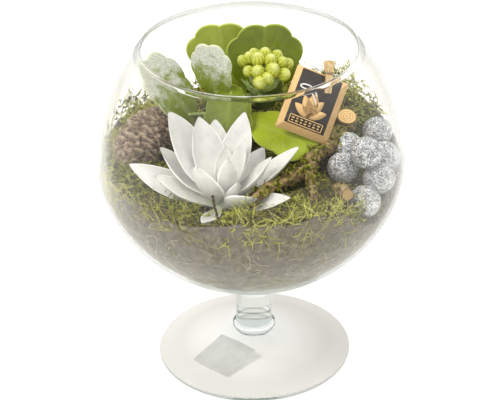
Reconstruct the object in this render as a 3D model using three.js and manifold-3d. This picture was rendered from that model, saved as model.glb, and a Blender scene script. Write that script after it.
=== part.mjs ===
// A plant terrarium in a footed glass bowl: soil and moss, a white rosette succulent,
// a scalloped-leaf flowering succulent in bud, a pine cone, a mossy branch,
// seven glitter balls and a kraft tag with a small wooden peg.
// Millimetres, +Z up, the origin under the middle of the glass foot.
// +Y points away from the side that the tag and the rosette face.

import * as THREE from 'three';
import { mergeVertices } from 'three/addons/utils/BufferGeometryUtils.js';
import Module from 'manifold-3d';

const wasm = await Module();
wasm.setup();

// Driving dimensions of the glass
const BOWL_RADIUS = 100;
const BELLY_HEIGHT = 150;
const RIM_HEIGHT = 228;
const RIM_RADIUS = 70;
const BOWL_BOTTOM = 61;
const UPPER_ROUNDNESS = 1.82;
const LOWER_ROUNDNESS = 1.9;
const WALL = 2.6;
const BOWL_FLOOR_THICKNESS = 5;
const STEM_RADIUS = 12.2;
const KNOP_RADIUS = 14.8;
const KNOP_HEIGHT = 21.5;
const KNOP_BULGE = 3.2;
const KNOP_HALF_HEIGHT = 5.6;
const FOOT_RADIUS = 65;
const FOOT_RING_INNER_RADIUS = 58;
const FOOT_CENTRE_TOP = 14.5;
const FOOT_HOLLOW_TOP = 10.5;
const FOOT_EDGE_THICKNESS = 3;

// Gaps, mesh fineness and the least slant for which a moved corner keeps the whole gap
const GAP = 0.35;
const ROOM_GAP = 0.4;
const SOIL_GAP = 0.5;
const TURN_STEPS = 32;
const RIM_STEPS = 4;
const RIM_BEAD_HALF = 1.5;
const SIDE_STEPS = 8;
const LEAST_SLANT = 0.45;

// The surface of the planting
const SOIL_LEVEL = 145;
const MOSS_DEPTH = 7;
const GROUND_RINGS = [0, 14, 28, 42, 56, 70, 83];
const MOSS_MIDDLE_RADIUS = 42;

// The rosette
const ROSETTE_X = -19;
const ROSETTE_Y = -54;
const ROSETTE_Z = 146;
const ROSETTE_CORE_RADIUS = 6;
const ROSETTE_CORE_HEIGHT = 17;
const ROSETTE_LEAF_THICKNESS = 3.4;
const HEART_LEAVES = 4;

// The flowering succulent
const STEM_FOOT = [-4, 36, 141];
const STEM_TOP = [9, 15, 194];
const FLOWER_STEM_RADIUS = 3.2;
const BUD_COUNT = 15;
const BUD_RADIUS = 5.1;
const BUD_DOME_RADIUS = 13.2;
const BUD_DOME_LEAN = 1.42;
const BUD_RIBS = 8;
const GOLDEN_TURN = 2.4;
const SCALLOPS = 8;

// The small things
const BALL_RADIUS = 10;
const CONE_RADIUS = 16;
const CONE_SCALE_HEIGHT = 1.7;
const CONE_ENDS = [[-83.5, -14, 151], [-52, 24, 174]];
const TAG_WIDTH = 36;
const TAG_HEIGHT = 42;
const TAG_THICKNESS = 0.9;
const PEG_LENGTH = 21;
const PEG_WIDTH = 4.6;
const PEG_HALF_DEPTH = 2.7;
const PEG_GROOVE = 0.8;
const PEG_TURN = 17;
const SPRING_WIRE = 0.8;
const STRING_RADIUS = 0.5;
const LABEL_SIZE = 30;
const LABEL_THICKNESS = 0.7;
const LABEL_X = -20.5;
const LABEL_Y = -17.5;
const LABEL_TURN = -42;

const UP = new THREE.Vector3(0, 0, 1);
const group = new THREE.Group();
const rooms = new Map();

// Colours, roughness and metalness of each finish
const FINISHES = {
  glass: { color: '#dfe8e2', roughness: 0.03, metalness: 0 },
  label: { color: '#cfd0c9', roughness: 0.8, metalness: 0 },
  soil: { color: '#4a3a2a', roughness: 0.95, metalness: 0 },
  moss: { color: '#7d7d34', roughness: 0.95, metalness: 0 },
  whiteLeaf: { color: '#e6e5dc', roughness: 0.55, metalness: 0 },
  greenLeaf: { color: '#7f9a25', roughness: 0.42, metalness: 0 },
  darkLeaf: { color: '#5d7a22', roughness: 0.42, metalness: 0 },
  silverLeaf: { color: '#a9ad92', roughness: 0.3, metalness: 0.1 },
  bud: { color: '#b5bd4a', roughness: 0.45, metalness: 0 },
  cone: { color: '#6f5f4c', roughness: 0.9, metalness: 0 },
  bark: { color: '#6e6442', roughness: 0.95, metalness: 0 },
  glitter: { color: '#b9b8b4', roughness: 0.3, metalness: 0.9 },
  kraft: { color: '#c59f67', roughness: 0.85, metalness: 0 },
  pegWood: { color: '#c8a46c', roughness: 0.7, metalness: 0 },
  wire: { color: '#e4e2da', roughness: 0.4, metalness: 0.3 },
};

// Seeded random numbers from 0 to 1
function seededRandom(seed) {
  let state = seed;
  return () => {
    state = (state * 1664525 + 1013904223) % 4294967296;
    return state / 4294967296;
  };
}

function clamp01(value) {
  return Math.min(1, Math.max(0, value));
}

function smooth(value) {
  const t = clamp01(value);
  return t * t * (3 - 2 * t);
}

// One closed mesh with shared corners and nothing but positions
function weld(geometry) {
  const bare = geometry.clone();
  bare.deleteAttribute('normal');
  bare.deleteAttribute('uv');
  return mergeVertices(bare, 1e-4);
}

function toSolid(geometry) {
  const welded = weld(geometry);
  return new wasm.Manifold(new wasm.Mesh({
    numProp: 3,
    vertProperties: new Float32Array(welded.attributes.position.array),
    triVerts: new Uint32Array(welded.index.array),
  }));
}

function toGeometry(solid) {
  const mesh = solid.getMesh();
  const geometry = new THREE.BufferGeometry();
  const corners = new THREE.BufferAttribute(new Float32Array(mesh.vertProperties), 3);
  geometry.setAttribute('position', corners);
  geometry.setIndex(new THREE.BufferAttribute(new Uint32Array(mesh.triVerts), 1));
  geometry.computeVertexNormals();
  return geometry;
}

// The largest of the loose pieces that a cut leaves
function biggestPiece(solid) {
  const pieces = solid.decompose();
  pieces.sort((a, b) => b.volume() - a.volume());
  return pieces[0];
}

// The same mesh with every face moved outward by the distance, or more at sharp edges
function grown(geometry, distance) {
  const welded = weld(geometry);
  const position = welded.attributes.position;
  const index = welded.index.array;
  const directions = Array.from({ length: position.count }, () => new THREE.Vector3());
  const faceNormals = Array.from({ length: position.count }, () => []);
  for (let i = 0; i < index.length; i += 3) {
    const corners = [0, 1, 2].map((k) => (
      new THREE.Vector3().fromBufferAttribute(position, index[i + k])
    ));
    const normal = new THREE.Triangle(...corners).getNormal(new THREE.Vector3());
    for (let k = 0; k < 3; k++) {
      const toNext = corners[(k + 1) % 3].clone().sub(corners[k]);
      const toLast = corners[(k + 2) % 3].clone().sub(corners[k]);
      directions[index[i + k]].addScaledVector(normal, toNext.angleTo(toLast));
      faceNormals[index[i + k]].push(normal);
    }
  }
  directions.forEach((direction, i) => {
    direction.normalize();
    const least = Math.min(...faceNormals[i].map((normal) => normal.dot(direction)));
    direction.multiplyScalar(distance / Math.max(LEAST_SLANT, least));
    position.setXYZ(
      i,
      position.getX(i) + direction.x,
      position.getY(i) + direction.y,
      position.getZ(i) + direction.z,
    );
  });
  return welded;
}

function worldGeometry(mesh) {
  mesh.updateWorldMatrix(true, false);
  return mesh.geometry.clone().applyMatrix4(mesh.matrixWorld);
}

function namedMesh(name, geometry, finish) {
  const mesh = new THREE.Mesh(geometry, new THREE.MeshStandardMaterial(FINISHES[finish]));
  mesh.name = name;
  return mesh;
}

// The room that each part takes, with the gap round it, kept by name for the cuts that follow
function keepRoom(name, bodies) {
  rooms.set(name, bodies.map((body) => toSolid(grown(body, ROOM_GAP))));
}

function boxesMeet(a, b) {
  return a.min.every((low, i) => low <= b.max[i] && b.min[i] <= a.max[i]);
}

// A part joined from its bodies and cut clear of the room that its neighbours take
function addPart(name, bodies, finish, neighbours = [], insideBowl = false) {
  let solid = bodies.map(toSolid).reduce((whole, piece) => whole.add(piece));
  const box = solid.boundingBox();
  for (const room of neighbours.flatMap((neighbour) => rooms.get(neighbour))) {
    if (boxesMeet(box, room.boundingBox())) {
      solid = solid.subtract(room);
    }
  }
  if (insideBowl) {
    solid = bowlRoom.intersect(solid);
  }
  keepRoom(name, bodies);
  group.add(namedMesh(name, toGeometry(biggestPiece(solid)), finish));
}

// A sphere's mesh laid out anew: pointAt gets the turn and the way from pole to pole, both 0 to 1
function wrapped(around, along, pointAt) {
  const geometry = new THREE.SphereGeometry(1, around, along);
  const position = geometry.attributes.position;
  for (let row = 0; row <= along; row++) {
    for (let column = 0; column <= around; column++) {
      const i = row * (around + 1) + column;
      const p = pointAt((column % around) / around, row / along);
      position.setXYZ(i, p.x, p.y, p.z);
    }
  }
  return outward(weld(geometry));
}

// Faces turned over where the enclosed volume comes out negative
function outward(geometry) {
  const position = geometry.attributes.position;
  const index = geometry.index.array;
  const a = new THREE.Vector3();
  const b = new THREE.Vector3();
  const c = new THREE.Vector3();
  let volume = 0;
  for (let i = 0; i < index.length; i += 3) {
    a.fromBufferAttribute(position, index[i]);
    b.fromBufferAttribute(position, index[i + 1]);
    c.fromBufferAttribute(position, index[i + 2]);
    volume += a.dot(b.cross(c));
  }
  if (volume < 0) {
    for (let i = 0; i < index.length; i += 3) {
      const first = index[i];
      index[i] = index[i + 1];
      index[i + 1] = first;
    }
  }
  geometry.computeVertexNormals();
  return geometry;
}

// A round limb along a curve, its thickness given at each way along, both ends flat
function limb(curve, radiusAt, around, along) {
  const frames = curve.computeFrenetFrames(along);
  return wrapped(around, along + 2, (turn, way) => {
    const step = Math.round(way * (along + 2)) - 1;
    const at = Math.min(along, Math.max(0, step));
    const centre = curve.getPointAt(at / along);
    if (step < 0 || step > along) {
      return centre;
    }
    const angle = 2 * Math.PI * turn;
    const radius = radiusAt(at / along, angle);
    return centre
      .addScaledVector(frames.normals[at], radius * Math.cos(angle))
      .addScaledVector(frames.binormals[at], radius * Math.sin(angle));
  });
}

function curveThrough(points) {
  return new THREE.CatmullRomCurve3(points.map((p) => new THREE.Vector3(...p)));
}

// Outer radius of the bowl at a height: two rounded arcs that meet at the belly
function bowlRadius(z, shrink) {
  const upperReach = (RIM_HEIGHT - BELLY_HEIGHT)
    / Math.pow(1 - Math.pow(RIM_RADIUS / BOWL_RADIUS, UPPER_ROUNDNESS), 1 / UPPER_ROUNDNESS);
  const floorRise = shrink > 0 ? BOWL_FLOOR_THICKNESS + shrink - WALL : 0;
  const lowerReach = BELLY_HEIGHT - BOWL_BOTTOM - floorRise;
  const radius = BOWL_RADIUS - shrink;
  const above = z >= BELLY_HEIGHT;
  const power = above ? UPPER_ROUNDNESS : LOWER_ROUNDNESS;
  const share = Math.abs(z - BELLY_HEIGHT) / (above ? upperReach - shrink : lowerReach);
  return radius * Math.pow(clamp01(1 - Math.pow(share, power)), 1 / power);
}

// Heights of the corners of the bowl's side from the rim down, closer together at the bottom
function sideHeights(bottom) {
  const heights = [216, 202, 186, 168];
  for (let i = 0; i <= SIDE_STEPS; i++) {
    heights.push(BELLY_HEIGHT + (bottom - BELLY_HEIGHT) * Math.sin(i / SIDE_STEPS * Math.PI / 2));
  }
  return heights;
}

const INNER_FLOOR = BOWL_BOTTOM + BOWL_FLOOR_THICKNESS;
const INNER_HEIGHTS = sideHeights(INNER_FLOOR + 1.2);

// Radius of the room inside the glass at a height, between the corners of the wall, less the gap
function roomRadius(z) {
  const next = INNER_HEIGHTS.findIndex((height) => height < z);
  if (next <= 0) {
    return bowlRadius(next === 0 ? z : INNER_HEIGHTS.at(-1), WALL) - GAP;
  }
  const low = INNER_HEIGHTS[next];
  const high = INNER_HEIGHTS[next - 1];
  const share = (z - low) / (high - low);
  return (1 - share) * bowlRadius(low, WALL) + share * bowlRadius(high, WALL) - GAP;
}

// Height of the hollow underside of the foot at a radius
function footUnderside(radius) {
  return FOOT_HOLLOW_TOP * clamp01(1 - radius / FOOT_RING_INNER_RADIUS);
}

function makeGlass() {
  const profile = [];
  for (const radius of [0, FOOT_RING_INNER_RADIUS / 2, FOOT_RING_INNER_RADIUS]) {
    profile.push(new THREE.Vector2(radius, footUnderside(radius)));
  }
  profile.push(new THREE.Vector2(FOOT_RADIUS - 0.8, 0));
  profile.push(new THREE.Vector2(FOOT_RADIUS, 1));
  profile.push(new THREE.Vector2(FOOT_RADIUS - 0.9, FOOT_EDGE_THICKNESS));
  profile.push(new THREE.Vector2(42, 7));
  profile.push(new THREE.Vector2(22, FOOT_CENTRE_TOP - 2.2));
  profile.push(new THREE.Vector2(13.6, FOOT_CENTRE_TOP + 0.5));
  for (const turn of [-45, 0, 45]) {
    const angle = THREE.MathUtils.degToRad(turn);
    profile.push(new THREE.Vector2(
      KNOP_RADIUS - KNOP_BULGE + KNOP_BULGE * Math.cos(angle),
      KNOP_HEIGHT + KNOP_HALF_HEIGHT * Math.sin(angle),
    ));
  }
  profile.push(new THREE.Vector2(STEM_RADIUS, KNOP_HEIGHT + 8));
  profile.push(new THREE.Vector2(STEM_RADIUS - 0.4, 44));
  profile.push(new THREE.Vector2(STEM_RADIUS + 0.6, 56));
  profile.push(new THREE.Vector2(STEM_RADIUS + 5, BOWL_BOTTOM + 0.9));
  for (const z of sideHeights(BOWL_BOTTOM + 3).reverse()) {
    profile.push(new THREE.Vector2(bowlRadius(z, 0), z));
  }
  const rimMiddle = RIM_RADIUS - WALL / 2;
  for (let i = 0; i <= RIM_STEPS; i++) {
    const angle = Math.PI * i / RIM_STEPS;
    profile.push(new THREE.Vector2(
      rimMiddle + RIM_BEAD_HALF * Math.cos(angle),
      RIM_HEIGHT - RIM_BEAD_HALF + RIM_BEAD_HALF * Math.sin(angle),
    ));
  }
  for (const z of INNER_HEIGHTS) {
    profile.push(new THREE.Vector2(bowlRadius(z, WALL), z));
  }
  profile.push(new THREE.Vector2(0, INNER_FLOOR));
  group.add(namedMesh('glass_goblet', lathed(profile), 'glass'));
}

// A turned body about the Z axis, its first corner on the +X axis
function lathed(profile) {
  const geometry = new THREE.LatheGeometry(profile, TURN_STEPS);
  geometry.rotateX(Math.PI / 2);
  geometry.rotateZ(Math.PI / 2);
  return outward(weld(geometry));
}

// The plain label under the foot follows the hollow of the foot
function makeLabel() {
  const geometry = new THREE.BoxGeometry(LABEL_SIZE, LABEL_SIZE, 1, 4, 4, 1);
  geometry.rotateZ(THREE.MathUtils.degToRad(LABEL_TURN));
  const position = geometry.attributes.position;
  for (let i = 0; i < position.count; i++) {
    const x = position.getX(i) + LABEL_X;
    const y = position.getY(i) + LABEL_Y;
    const top = footUnderside(Math.hypot(x, y)) - GAP;
    position.setXYZ(i, x, y, position.getZ(i) > 0 ? top : top - LABEL_THICKNESS);
  }
  group.add(namedMesh('foot_label', outward(weld(geometry)), 'label'));
}

// A soft bump of the ground
function bump(x, y, centreX, centreY, height, spread) {
  const distance = Math.hypot(x - centreX, y - centreY);
  return height * Math.exp(-(distance * distance) / (2 * spread * spread));
}

// The dips that the glitter balls and the rosette sit in
function dips(x, y) {
  return bump(x, y, 83, -42, -19, 19) + bump(x, y, ROSETTE_X, ROSETTE_Y, -11, 18);
}

// The height that mounds of moss add
function mounds(x, y) {
  return bump(x, y, -72, 40, 20, 19)
    + bump(x, y, 60, 60, 28, 19)
    + bump(x, y, -4, 82, 11, 24)
    + bump(x, y, -84, -44, 4, 24)
    + bump(x, y, -4, -97, 4, 20)
    + bump(x, y, 44, -78, 5, 15)
    + bump(x, y, 16, 30, 4, 18);
}

function soilTop(x, y) {
  return SOIL_LEVEL + 0.2 * mounds(x, y)
    + bump(x, y, 83, -42, -22, 29) + bump(x, y, ROSETTE_X, ROSETTE_Y, -11, 27);
}

function mossTop(x, y) {
  const lumps = 0.9 * Math.sin(0.33 * x + 1) * Math.cos(0.29 * y) + 0.6 * Math.sin(0.21 * (x + y));
  return SOIL_LEVEL + MOSS_DEPTH + mounds(x, y) + dips(x, y) + lumps;
}

function ringPoint(radius, step, height) {
  const angle = 2 * Math.PI * step / TURN_STEPS;
  const x = radius * Math.cos(angle);
  const y = radius * Math.sin(angle);
  return new THREE.Vector3(x, y, height(x, y));
}

// Soil from the floor of the bowl up to its uneven top
function soilBody() {
  const rings = GROUND_RINGS.slice(1);
  const walls = INNER_HEIGHTS.slice(-SIDE_STEPS);
  const along = rings.length + 2 + walls.length;
  return wrapped(TURN_STEPS, along, (turn, way) => {
    const row = Math.round(way * along);
    const step = turn * TURN_STEPS;
    if (row === 0) {
      return new THREE.Vector3(0, 0, soilTop(0, 0));
    }
    if (row <= rings.length) {
      return ringPoint(rings[row - 1], step, soilTop);
    }
    if (row === rings.length + 1) {
      return ringPoint(wallRadiusAt(step, soilTop), step, soilTop);
    }
    if (row === along) {
      return new THREE.Vector3(0, 0, INNER_FLOOR + GAP);
    }
    const z = walls[row - rings.length - 2];
    return ringPoint(roomRadius(z), step, () => z + GAP);
  });
}

// Where the ground meets the glass in one direction, found by a few rounds of trial
function wallRadiusAt(step, height) {
  let radius = BOWL_RADIUS - WALL - GAP;
  for (let round = 0; round < 6; round++) {
    const p = ringPoint(radius, step, height);
    radius = roomRadius(p.z);
  }
  return radius;
}

// A pad of moss on the soil between two turns and two radii
function mossPad(firstStep, lastStep, innerRadius) {
  const sideGap = GAP / 2 / MOSS_MIDDLE_RADIUS * TURN_STEPS / (2 * Math.PI);
  const rings = GROUND_RINGS.filter((radius) => radius > innerRadius);
  const across = rings.length + 1;
  const turns = lastStep - firstStep;
  const geometry = new THREE.BoxGeometry(1, 1, 1, across, turns, 1);
  const position = geometry.attributes.position;
  for (let i = 0; i < position.count; i++) {
    const ring = Math.round((position.getX(i) + 0.5) * across);
    const turn = Math.round((position.getY(i) + 0.5) * turns);
    let step = firstStep + turn;
    step += turn === 0 ? sideGap : 0;
    step -= turn === turns ? sideGap : 0;
    const top = position.getZ(i) > 0;
    const height = top ? mossTop : (x, y) => soilTop(x, y) + SOIL_GAP;
    let radius = ring === 0 ? innerRadius + GAP : rings[ring - 1];
    if (ring === across) {
      radius = wallRadiusAt(step, height);
    }
    const p = ringPoint(radius, step, height);
    position.setXYZ(i, p.x, p.y, p.z);
  }
  return outward(weld(geometry));
}

// The round pad of moss in the middle of the bowl
function mossMiddle() {
  const rings = GROUND_RINGS.filter((radius) => radius > 0 && radius <= MOSS_MIDDLE_RADIUS);
  const along = 2 * rings.length + 1;
  return wrapped(TURN_STEPS, along, (turn, way) => {
    const row = Math.round(way * along);
    const onTop = row <= rings.length;
    const ring = onTop ? row : along - row;
    const radius = ring === 0 ? 0 : rings[ring - 1];
    const height = onTop ? mossTop : (x, y) => soilTop(x, y) + SOIL_GAP;
    return ringPoint(radius, turn * TURN_STEPS, height);
  });
}

// A fleshy pointed leaf of the rosette from its root to its tip
function rosetteLeafBody(root, tip, width, thickness, belly) {
  const line = tip.clone().sub(root);
  const side = new THREE.Vector3().crossVectors(line, UP).normalize();
  const face = new THREE.Vector3().crossVectors(side, line).normalize();
  const along = 7;
  return wrapped(8, along, (turn, way) => {
    const t = clamp01((way * along - 1) / (along - 1));
    const bow = -belly * Math.sin(Math.PI * t);
    const middle = root.clone().addScaledVector(line, t).addScaledVector(face, bow);
    if (way === 0) {
      return middle;
    }
    const rising = 0.4 + 0.6 * smooth(t / 0.42);
    const falling = Math.pow(clamp01(1 - Math.pow(clamp01((t - 0.5) / 0.5), 1.9)), 0.9);
    const half = 0.5 * width * rising * falling;
    const depth = thickness * (0.45 + 0.55 * falling) * falling;
    const angle = 2 * Math.PI * turn;
    const trough = 0.3 * half * Math.cos(angle) * Math.cos(angle);
    const swell = Math.sin(angle) * depth * (Math.sin(angle) > 0 ? 0.2 : 0.8);
    return middle
      .addScaledVector(side, half * Math.cos(angle))
      .addScaledVector(face, trough + swell);
  });
}

// Azimuth, rise in degrees, length and width of each outer leaf, the steep inner ones first
const ROSETTE_LEAVES = [
  [-61, 74, 38, 14],
  [76, 62, 35, 14],
  [59, 59, 59, 21],
  [118, 60, 56, 22],
  [-127, 58, 41, 21],
  [25, 68, 45, 15],
  [143, 51, 67, 22],
  [-50, 52, 27, 11],
  [1, 45, 45, 13],
  [95, 40, 57, 20],
  [159, 38, 52, 19],
  [-171, 32, 48, 20],
  [17, 31, 60, 17],
  [-43, 27, 30, 21],
  [170, 22, 63, 20],
  [54, 22, 50, 20],
  [-19, 14, 47, 14],
  [-115, 13, 32, 18],
];

function makeRosette() {
  const heart = new THREE.Vector3(ROSETTE_X, ROSETTE_Y, ROSETTE_Z);
  const random = seededRandom(7);
  const core = wrapped(8, 5, (turn, way) => {
    const angle = 2 * Math.PI * turn;
    const radius = ROSETTE_CORE_RADIUS * Math.pow(Math.sin(Math.PI * clamp01(way)), 0.6);
    return new THREE.Vector3(
      heart.x + radius * Math.cos(angle),
      heart.y + radius * Math.sin(angle),
      heart.z + ROSETTE_CORE_HEIGHT * (0.47 - way),
    );
  });
  const heartParts = [core];
  for (let i = 0; i < HEART_LEAVES; i++) {
    const azimuth = GOLDEN_TURN * i;
    const rise = THREE.MathUtils.degToRad(86 - 3.2 * i);
    const length = 14 + 2.2 * i + 2 * random();
    const direction = new THREE.Vector3(
      Math.cos(azimuth) * Math.cos(rise),
      Math.sin(azimuth) * Math.cos(rise),
      Math.sin(rise),
    );
    const root = heart.clone();
    root.x += 1.5 * Math.cos(azimuth);
    root.y += 1.5 * Math.sin(azimuth);
    const tip = root.clone().addScaledVector(direction, length);
    heartParts.push(rosetteLeafBody(root, tip, 5.5 + 0.8 * i, 2.4, 0.8));
  }
  addPart('white_rosette_heart', heartParts, 'whiteLeaf');

  const done = ['white_rosette_heart'];
  ROSETTE_LEAVES.forEach(([azimuth, rise, length, width], i) => {
    const turn = THREE.MathUtils.degToRad(azimuth);
    const lift = THREE.MathUtils.degToRad(rise);
    const out = new THREE.Vector3(Math.cos(turn), Math.sin(turn), 0);
    const tip = heart.clone()
      .addScaledVector(out, length * Math.cos(lift))
      .addScaledVector(UP, length * Math.sin(lift));
    const root = heart.clone()
      .addScaledVector(out, ROSETTE_CORE_RADIUS * 0.75)
      .addScaledVector(UP, -4 + 10 * Math.sin(lift));
    const body = rosetteLeafBody(root, tip, width, ROSETTE_LEAF_THICKNESS, 0.05 * length);
    const name = `white_leaf_${i + 1}`;
    addPart(name, [body], 'whiteLeaf', done);
    done.push(name);
  });
  return done;
}

// A broad leaf with a scalloped edge and a short stalk from the plant's stem
function scallopedLeaf(spec) {
  const centre = new THREE.Vector3(...spec.centre);
  const along = new THREE.Vector3(...spec.along).normalize();
  const facing = new THREE.Vector3(...spec.facing);
  const side = new THREE.Vector3().crossVectors(facing, along).normalize();
  const face = new THREE.Vector3().crossVectors(along, side).normalize();
  const columns = 3 * SCALLOPS;
  const rings = [0, 0.55, 0.94, 1, 0.94, 0.55, 0];
  const surface = (x, y, ring, angle) => {
    const bend = -spec.bend * (x * x) / spec.length;
    const cup = spec.cup * (y * y) / spec.width;
    return bend + cup + spec.wave * ring * ring * Math.sin(3 * angle + spec.phase);
  };
  const blade = wrapped(columns, rings.length - 1, (turn, way) => {
    const row = Math.round(way * (rings.length - 1));
    const ring = rings[row];
    const angle = 2 * Math.PI * turn;
    const lobes = Math.abs(Math.sin(SCALLOPS * angle / 2));
    const stalkSide = smooth((Math.abs(angle - Math.PI) - 0.25) / 0.7);
    const reach = ring * (1 - 0.1 * stalkSide * (1 - lobes) * ring);
    const x = 0.5 * spec.length * reach * Math.cos(angle);
    const y = 0.5 * spec.width * reach * Math.sin(angle) * (1 + 0.2 * Math.cos(angle));
    const half = ring === 1 ? 0 : 0.5 * spec.thickness;
    const z = surface(x, y, ring, angle) + (row < 3 ? half : -half);
    return centre.clone()
      .addScaledVector(along, x)
      .addScaledVector(side, y)
      .addScaledVector(face, z);
  });
  const join = centre.clone()
    .addScaledVector(along, -0.34 * spec.length)
    .addScaledVector(face, surface(-0.34 * spec.length, 0, 0.7, Math.PI));
  const stemPoint = stemCurve.getPointAt(spec.node);
  const start = stemPoint.clone();
  const middle = start.clone().lerp(join, 0.55).addScaledVector(UP, -1.5);
  const stalk = limb(new THREE.CatmullRomCurve3([start, middle, join]), (way) => 1.9 - 0.7 * way, 5, 3);
  return [blade, stalk];
}

const stemCurve = curveThrough([STEM_FOOT, [-3, 33, 160], [1, 25, 178], STEM_TOP]);

const BROAD_LEAVES = {
  back_right: {
    finish: 'darkLeaf',
    centre: [10, 45, 196], along: [0.02, 0.12, 1], facing: [0.05, -1, 0.1],
    length: 52, width: 50, thickness: 2, bend: 0.12, cup: 0.16, wave: 0.8, phase: 0.4, node: 0.52,
  },
  back_left: {
    finish: 'darkLeaf',
    centre: [-17, 55, 194], along: [-0.1, 0.08, 1], facing: [-0.1, -1, 0.1],
    length: 50, width: 48, thickness: 2, bend: 0.1, cup: 0.14, wave: 0.8, phase: 1.9, node: 0.45,
  },
  silver: {
    finish: 'silverLeaf',
    centre: [-24, 9, 206], along: [-0.12, -0.1, 1], facing: [-0.45, -0.9, 0.1],
    length: 42, width: 29, thickness: 1.9, bend: 0.15, cup: -0.1, wave: 0.5, phase: 0.9, node: 0.66,
  },
  left: {
    finish: 'silverLeaf',
    centre: [-51, 13, 191], along: [-0.54, 0.08, 0.84], facing: [0.62, -0.66, 0.36],
    length: 58, width: 32, thickness: 2, bend: 0.08, cup: 0.2, wave: 0.6, phase: 2.2, node: 0.5,
  },
  low_right: {
    centre: [20, -6, 168], along: [0.9, -0.3, -0.3], facing: [0.12, -0.55, 0.83],
    length: 52, width: 33, thickness: 2.1, bend: 0.12, cup: 0.06, wave: 0.8, phase: 0.2, node: 0.36,
  },
  middle: {
    centre: [-14, 0, 181], along: [-0.1, -0.5, -0.8], facing: [-0.15, -0.85, 0.5],
    length: 38, width: 32, thickness: 2, bend: 0.16, cup: 0.08, wave: 0.7, phase: 1.2, node: 0.72,
  },
  inner_right: {
    finish: 'darkLeaf',
    centre: [9, 28, 182], along: [0.5, -0.1, 0.8], facing: [-0.1, -0.9, 0.3],
    length: 32, width: 24, thickness: 1.9, bend: 0.1, cup: 0.12, wave: 0.5, phase: 0.7, node: 0.62,
  },
  back: {
    finish: 'darkLeaf',
    centre: [-10, 68, 178], along: [-0.25, 0.8, 0.5], facing: [-0.1, -0.5, 0.85],
    length: 42, width: 32, thickness: 2, bend: 0.12, cup: 0.1, wave: 0.6, phase: 1.5, node: 0.33,
  },
};

// Ribbed round buds on short stalks over the top of the stem, placed by the sunflower rule
function budHead() {
  const top = new THREE.Vector3(...STEM_TOP);
  const tilt = new THREE.Vector3(0.1, -0.3, 0.95).normalize();
  const right = new THREE.Vector3(1, 0, -0.1).normalize();
  const back = new THREE.Vector3().crossVectors(tilt, right).normalize();
  const parts = [];
  const random = seededRandom(11);
  const heart = top.clone().addScaledVector(tilt, 6.5);
  parts.push(wrapped(8, 4, (turn, way) => {
    const angle = 2 * Math.PI * turn;
    const radius = 11 * Math.sin(Math.PI * way);
    return heart.clone()
      .addScaledVector(right, radius * Math.cos(angle))
      .addScaledVector(back, radius * Math.sin(angle))
      .addScaledVector(tilt, 9 * Math.cos(Math.PI * way));
  }));
  for (let i = 0; i < BUD_COUNT; i++) {
    const spread = Math.sqrt((i + 0.35) / BUD_COUNT);
    const azimuth = GOLDEN_TURN * i + 0.7;
    const lean = spread * BUD_DOME_LEAN;
    const out = tilt.clone().multiplyScalar(Math.cos(lean))
      .addScaledVector(right, Math.sin(lean) * Math.cos(azimuth))
      .addScaledVector(back, Math.sin(lean) * Math.sin(azimuth));
    const size = BUD_RADIUS * (1 - 0.2 * random()) * (1 - 0.12 * spread);
    const centre = top.clone().addScaledVector(tilt, 4).addScaledVector(out, BUD_DOME_RADIUS);
    parts.push(ribbedBud(centre, out, size));
  }
  return parts;
}

// One bud: a ball with ribs from its root to its tip
function ribbedBud(centre, out, size) {
  const side = new THREE.Vector3().crossVectors(out, new THREE.Vector3(0.3, 0.9, 0.2)).normalize();
  const other = new THREE.Vector3().crossVectors(out, side);
  return wrapped(BUD_RIBS, 4, (turn, way) => {
    const angle = 2 * Math.PI * turn;
    const rib = 1 + 0.1 * (Math.round(turn * BUD_RIBS) % 2 === 0 ? 1 : -1);
    const radius = size * rib * Math.sin(Math.PI * way);
    return centre.clone()
      .addScaledVector(side, radius * Math.cos(angle))
      .addScaledVector(other, radius * Math.sin(angle))
      .addScaledVector(out, 1.05 * size * Math.cos(Math.PI * way));
  });
}

function makeFloweringPlant() {
  const stem = limb(stemCurve, (way) => FLOWER_STEM_RADIUS * (1 - 0.25 * way), 8, 8);
  const done = ['flower_stem_with_buds'];
  addPart(done[0], [stem, ...budHead()], 'bud');
  for (const [key, spec] of Object.entries(BROAD_LEAVES)) {
    const name = `scalloped_leaf_${key}`;
    const finish = spec.finish ?? 'greenLeaf';
    addPart(name, scallopedLeaf(spec), finish, done, true);
    done.push(name);
  }
  return done;
}

// The room inside the glass, less the gap
const bowlRoom = toSolid(lathed([
  new THREE.Vector2(0, INNER_FLOOR + GAP),
  ...INNER_HEIGHTS.toReversed().map((z) => new THREE.Vector2(roomRadius(z), z)),
  new THREE.Vector2(bowlRadius(RIM_HEIGHT, WALL) - GAP, RIM_HEIGHT),
  new THREE.Vector2(0, RIM_HEIGHT),
]));

// A closed pine cone: scales in spirals, each a step of the surface
function makeCone() {
  const [low, high] = CONE_ENDS.map((end) => new THREE.Vector3(...end));
  const line = high.clone().sub(low);
  const side = new THREE.Vector3().crossVectors(line, UP).normalize();
  const face = new THREE.Vector3().crossVectors(side, line).normalize();
  const around = 20;
  const along = 16;
  return wrapped(around, along, (turn, way) => {
    const middle = low.clone().addScaledVector(line, way);
    if (way === 0 || way === 1) {
      return middle;
    }
    const fullness = Math.pow(Math.sin(Math.PI * Math.pow(way, 0.8)), 0.62);
    const row = Math.round(way * along);
    const column = Math.round(turn * around);
    const scaleRow = row % 2 === 1;
    const scaleTip = scaleRow && (column + (row - 1) / 2) % 2 === 0;
    let radius = fullness * CONE_RADIUS;
    if (scaleRow) {
      radius += fullness * CONE_SCALE_HEIGHT * (scaleTip ? 1 : -0.4);
    }
    const angle = 2 * Math.PI * turn;
    return middle
      .addScaledVector(side, radius * Math.cos(angle))
      .addScaledVector(face, radius * Math.sin(angle));
  });
}

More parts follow.
